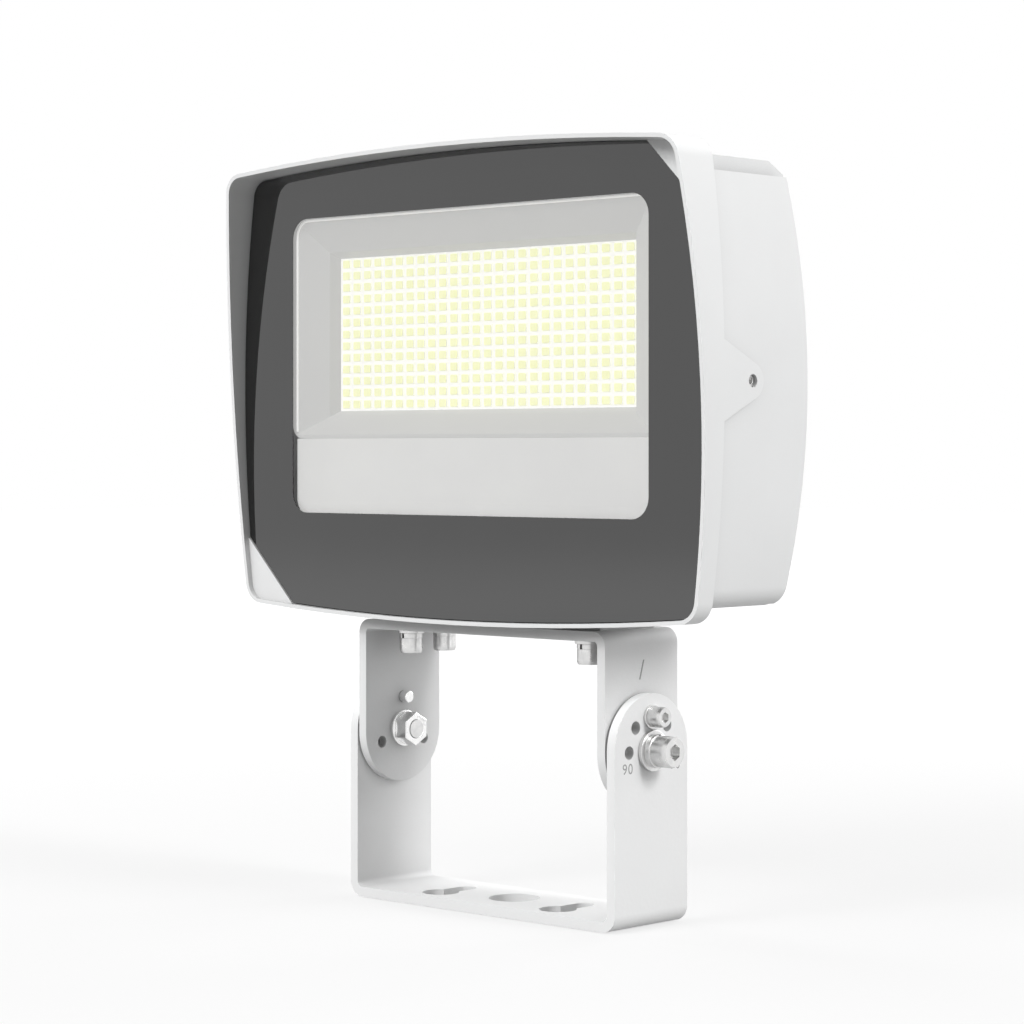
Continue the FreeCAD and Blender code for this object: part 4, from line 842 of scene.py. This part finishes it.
# lamp chips: a grid of rounded blocks that stand on the board and face -Y
def chipGridTree():
    tree, given, sent = startTree("chipGrid", [
        ("Columns", "Int"), ("Rows", "Int"), ("Pitch Across", "Float"), ("Pitch Up", "Float"),
        ("Width", "Float"), ("Height", "Float"), ("Corner", "Float"), ("Depth", "Float"),
        ("Centre", "Vector"), ("Material", "Material")])
    outline = geoNode(tree, "GeometryNodeCurvePrimitiveQuadrilateral",
                      links={"Width": given["Width"], "Height": given["Height"]})
    rounded = geoNode(tree, "GeometryNodeFilletCurve", {"mode": "POLY"}, {"Count": 2},
                      links={"Curve": outline.outputs[0], "Radius": given["Corner"]})
    face = geoNode(tree, "GeometryNodeFillCurve", {"mode": "NGONS"}, links={"Curve": rounded.outputs[0]})
    block = geoNode(tree, "GeometryNodeExtrudeMesh", {"mode": "FACES"}, {"Individual": False},
                    links={"Mesh": face.outputs[0], "Offset Scale": given["Depth"]})
    across = maths(tree, "MULTIPLY", given["Pitch Across"], maths(tree, "SUBTRACT", given["Columns"], 1))
    upward = maths(tree, "MULTIPLY", given["Pitch Up"], maths(tree, "SUBTRACT", given["Rows"], 1))
    grid = geoNode(tree, "GeometryNodeMeshGrid", links={
        "Size X": across, "Size Y": upward, "Vertices X": given["Columns"], "Vertices Y": given["Rows"]})
    placed = geoNode(tree, "GeometryNodeInstanceOnPoints", links={
        "Points": grid.outputs["Mesh"], "Instance": block.outputs["Mesh"]})
    real = geoNode(tree, "GeometryNodeRealizeInstances", links={"Geometry": placed.outputs[0]})
    stood = geoNode(tree, "GeometryNodeTransform", values={"Rotation": Euler((math.pi / 2, 0, 0))},
                    links={"Geometry": real.outputs[0], "Translation": given["Centre"]})
    return coatedTree(tree, stood.outputs[0], given, sent)


chipTree = chipGridTree()
chipBase = {"Columns": chipSizes["across"], "Rows": chipSizes["up"], "Pitch Across": chipPitch[0],
            "Pitch Up": chipPitch[1], "Width": chipSizes["width"], "Height": chipSizes["height"],
            "Corner": 0.35 * mm, "Depth": chipSizes["body"], "Centre": (0, chipHigh.y, chipMiddle.z)}
chipTop = dict(chipBase, Width=chipSizes["lensWidth"], Height=chipSizes["lensHeight"], Corner=0.55 * mm,
               Depth=chipSizes["lens"], Centre=(0, chipHigh.y - chipSizes["body"], chipMiddle.z))
for name, look, material, slot in (("chipBodies", chipBase, chipCeramic, "board_white"),
                                   ("chipLenses", chipTop, finishes["chip_phosphor"], "chip_phosphor")):
    chips = newPiece(name, bpy.data.meshes.new(name), material)
    grow(chips, chipTree, look, material, smoothAngle=40)
    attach(chips, "head")
    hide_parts("led_chips")
print("chips grown")


# bead round the mouth of the tray: a round wire along the edges of the piece's own mesh
def beadTree():
    tree, given, sent = startTree("trayBead", [("Thickness", "Float"), ("Material", "Material")])
    path = geoNode(tree, "GeometryNodeMeshToCurve", links={"Mesh": given["Geometry"]})
    section = geoNode(tree, "GeometryNodeCurvePrimitiveCircle", values={"Resolution": 12},
                      links={"Radius": maths(tree, "MULTIPLY", given["Thickness"], 0.5)})
    wire = geoNode(tree, "GeometryNodeCurveToMesh", values={"Fill Caps": True}, links={
        "Curve": path.outputs[0], "Profile Curve": section.outputs[0]})
    real = geoNode(tree, "GeometryNodeRealizeInstances", links={"Geometry": wire.outputs[0]})
    return coatedTree(tree, real.outputs[0], given, sent)


trayLow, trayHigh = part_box("reflector_tray")
beadLook = {"sides": 2.65 * mm, "top": 1.9 * mm, "foot": 3 * mm, "sunk": 0.35 * mm, "corner": 7 * mm,
            "steps": 12, "thickness": 1.0 * mm}


# up the left side, along the top and down the right side, with two round corners
def beadPath(look):
    half, top = trayHigh.x - look["sides"], trayHigh.z - look["top"]
    y, foot, corner = trayLow.y + look["sunk"], trayLow.z + look["foot"], look["corner"]
    turns = [i * math.pi / 2 / look["steps"] for i in range(look["steps"] + 1)]
    left = [(corner - half - corner * math.cos(a), y, top - corner + corner * math.sin(a)) for a in turns]
    climb = [(-half, y, foot)] + left
    return climb + [(-x, y, z) for x, y, z in reversed(climb)]


spots = beadPath(beadLook)
beadMesh = bpy.data.meshes.new("trayBead")
beadMesh.from_pydata(spots, [(i, i + 1) for i in range(len(spots) - 1)], [])
bead = newPiece("trayBead", beadMesh, beadWhite)
grow(bead, beadTree(), {"Thickness": beadLook["thickness"]}, beadWhite, smoothAngle=60)
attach(bead, "head")
print("tray bead grown")


# grip ribs round the gland's dome nut
def gripRibsTree():
    tree, given, sent = startTree("gripRibs", [
        ("Ribs", "Int"), ("Radius", "Float"), ("Rib Size", "Vector"), ("Lean", "Float"),
        ("Centre", "Vector"), ("Material", "Material")])
    circle = geoNode(tree, "GeometryNodeMeshCircle",
                     links={"Vertices": given["Ribs"], "Radius": given["Radius"]})
    rib = geoNode(tree, "GeometryNodeMeshCube", links={"Size": given["Rib Size"]})
    tilt = geoNode(tree, "ShaderNodeCombineXYZ", links={1: maths(tree, "MULTIPLY", given["Lean"], -1.0)})
    leaned = geoNode(tree, "GeometryNodeTransform", links={"Geometry": rib.outputs["Mesh"],
                                                           "Rotation": tilt.outputs[0]})
    where = geoNode(tree, "GeometryNodeInputPosition").outputs[0]
    outward = geoNode(tree, "FunctionNodeAlignRotationToVector", {"axis": "X", "pivot_axis": "Z"},
                      links={"Vector": where})
    placed = geoNode(tree, "GeometryNodeInstanceOnPoints", links={
        "Points": circle.outputs["Mesh"], "Instance": leaned.outputs[0], "Rotation": outward.outputs[0]})
    real = geoNode(tree, "GeometryNodeRealizeInstances", links={"Geometry": placed.outputs[0]})
    turned = geoNode(tree, "GeometryNodeTransform", values={"Rotation": Euler((-math.pi / 2, 0, 0))},
                     links={"Geometry": real.outputs[0], "Translation": given["Centre"]})
    return coatedTree(tree, turned.outputs[0], given, sent)


nutLow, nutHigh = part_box("gland_nut")
gripMiddle = 5 * mm  # from the nut's inner end
gripRibs = {"Ribs": 20, "Radius": 10.75 * mm, "Rib Size": (1.4 * mm, 1.1 * mm, 7 * mm), "Lean": 0.177,
            "Centre": (0, nutLow.y + gripMiddle, (nutLow.z + nutHigh.z) / 2)}
ribs = newPiece("glandRibs", bpy.data.meshes.new("glandRibs"), finishes["gland_plastic"])
grow(ribs, gripRibsTree(), gripRibs, finishes["gland_plastic"], smoothAngle=30)
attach(ribs, "head")
print("gland ribs grown")

# printed marks: the dial's end numbers on the yoke and the index lines on the bracket
dialMarks = {"text": "90", "size": 6.1 * mm, "lift": 0.03 * mm, "across": 15.0 * mm, "below": 6.8 * mm,
             "spacing": 1.15, "weld": 1e-7}
indexLine = {"low": 102 * mm, "high": 110 * mm, "lean": 1.25 * mm, "half": 0.4 * mm, "gap": 0.02 * mm,
             "sunk": 0.2 * mm, "deep": 0.39 * mm}


def dialNumbers():
    letters = bpy.data.curves.new("dialText", "FONT")
    letters.body = dialMarks["text"]
    letters.size = dialMarks["size"]
    letters.align_x = "CENTER"
    letters.align_y = "CENTER"
    letters.extrude = dialMarks["lift"]
    letters.space_character = dialMarks["spacing"]
    holder = bpy.data.objects.new("dialText", letters)
    scene.collection.objects.link(holder)
    bpy.context.view_layer.update()
    graph = bpy.context.evaluated_depsgraph_get()
    flat = bpy.data.meshes.new_from_object(holder.evaluated_get(graph))
    bpy.data.objects.remove(holder)
    points, faces = [], []
    for side in (-1, 1):
        for end in (-1, 1):
            start = len(points)
            for v in flat.vertices:
                points.append((side * (yokeHalf + v.co.z), end * dialMarks["across"] + side * v.co.x,
                               pivotZ - dialMarks["below"] + v.co.y))
            faces += [[start + i for i in face.vertices] for face in flat.polygons]
    mesh = bpy.data.meshes.new("dialNumbers")
    mesh.from_pydata(points, [], faces)
    work = bmesh.new()
    work.from_mesh(mesh)
    bmesh.ops.remove_doubles(work, verts=work.verts, dist=dialMarks["weld"])
    bmesh.ops.recalc_face_normals(work, faces=work.faces)
    work.to_mesh(mesh)
    work.free()
    piece = newPiece("dialNumbers", mesh, markInk)
    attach(piece, "yoke")


def indexLines():
    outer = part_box("upper_bracket")[1].x
    back, front = outer - indexLine["deep"], outer - indexLine["sunk"]
    mesh = bpy.data.meshes.new("indexLines")
    work = bmesh.new()
    outline = [(-indexLine["lean"], -1, "low"), (-indexLine["lean"], 1, "low"),
               (indexLine["lean"], 1, "high"), (indexLine["lean"], -1, "high")]
    inset = indexLine["half"] - indexLine["gap"]
    for side in (-1, 1):
        rings = []
        for x in (back, front):
            rings.append([work.verts.new((side * x, y + way * inset, indexLine[level]))
                          for y, way, level in outline])
        work.faces.new(rings[0])
        work.faces.new(rings[1])
        for i in range(4):
            work.faces.new((rings[0][i], rings[0][(i + 1) % 4], rings[1][(i + 1) % 4], rings[1][i]))
    bmesh.ops.recalc_face_normals(work, faces=work.faces)
    work.to_mesh(mesh)
    work.free()
    piece = newPiece("indexLines", mesh, markInk)
    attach(piece, "head")


dialNumbers()
indexLines()
print("marks printed")
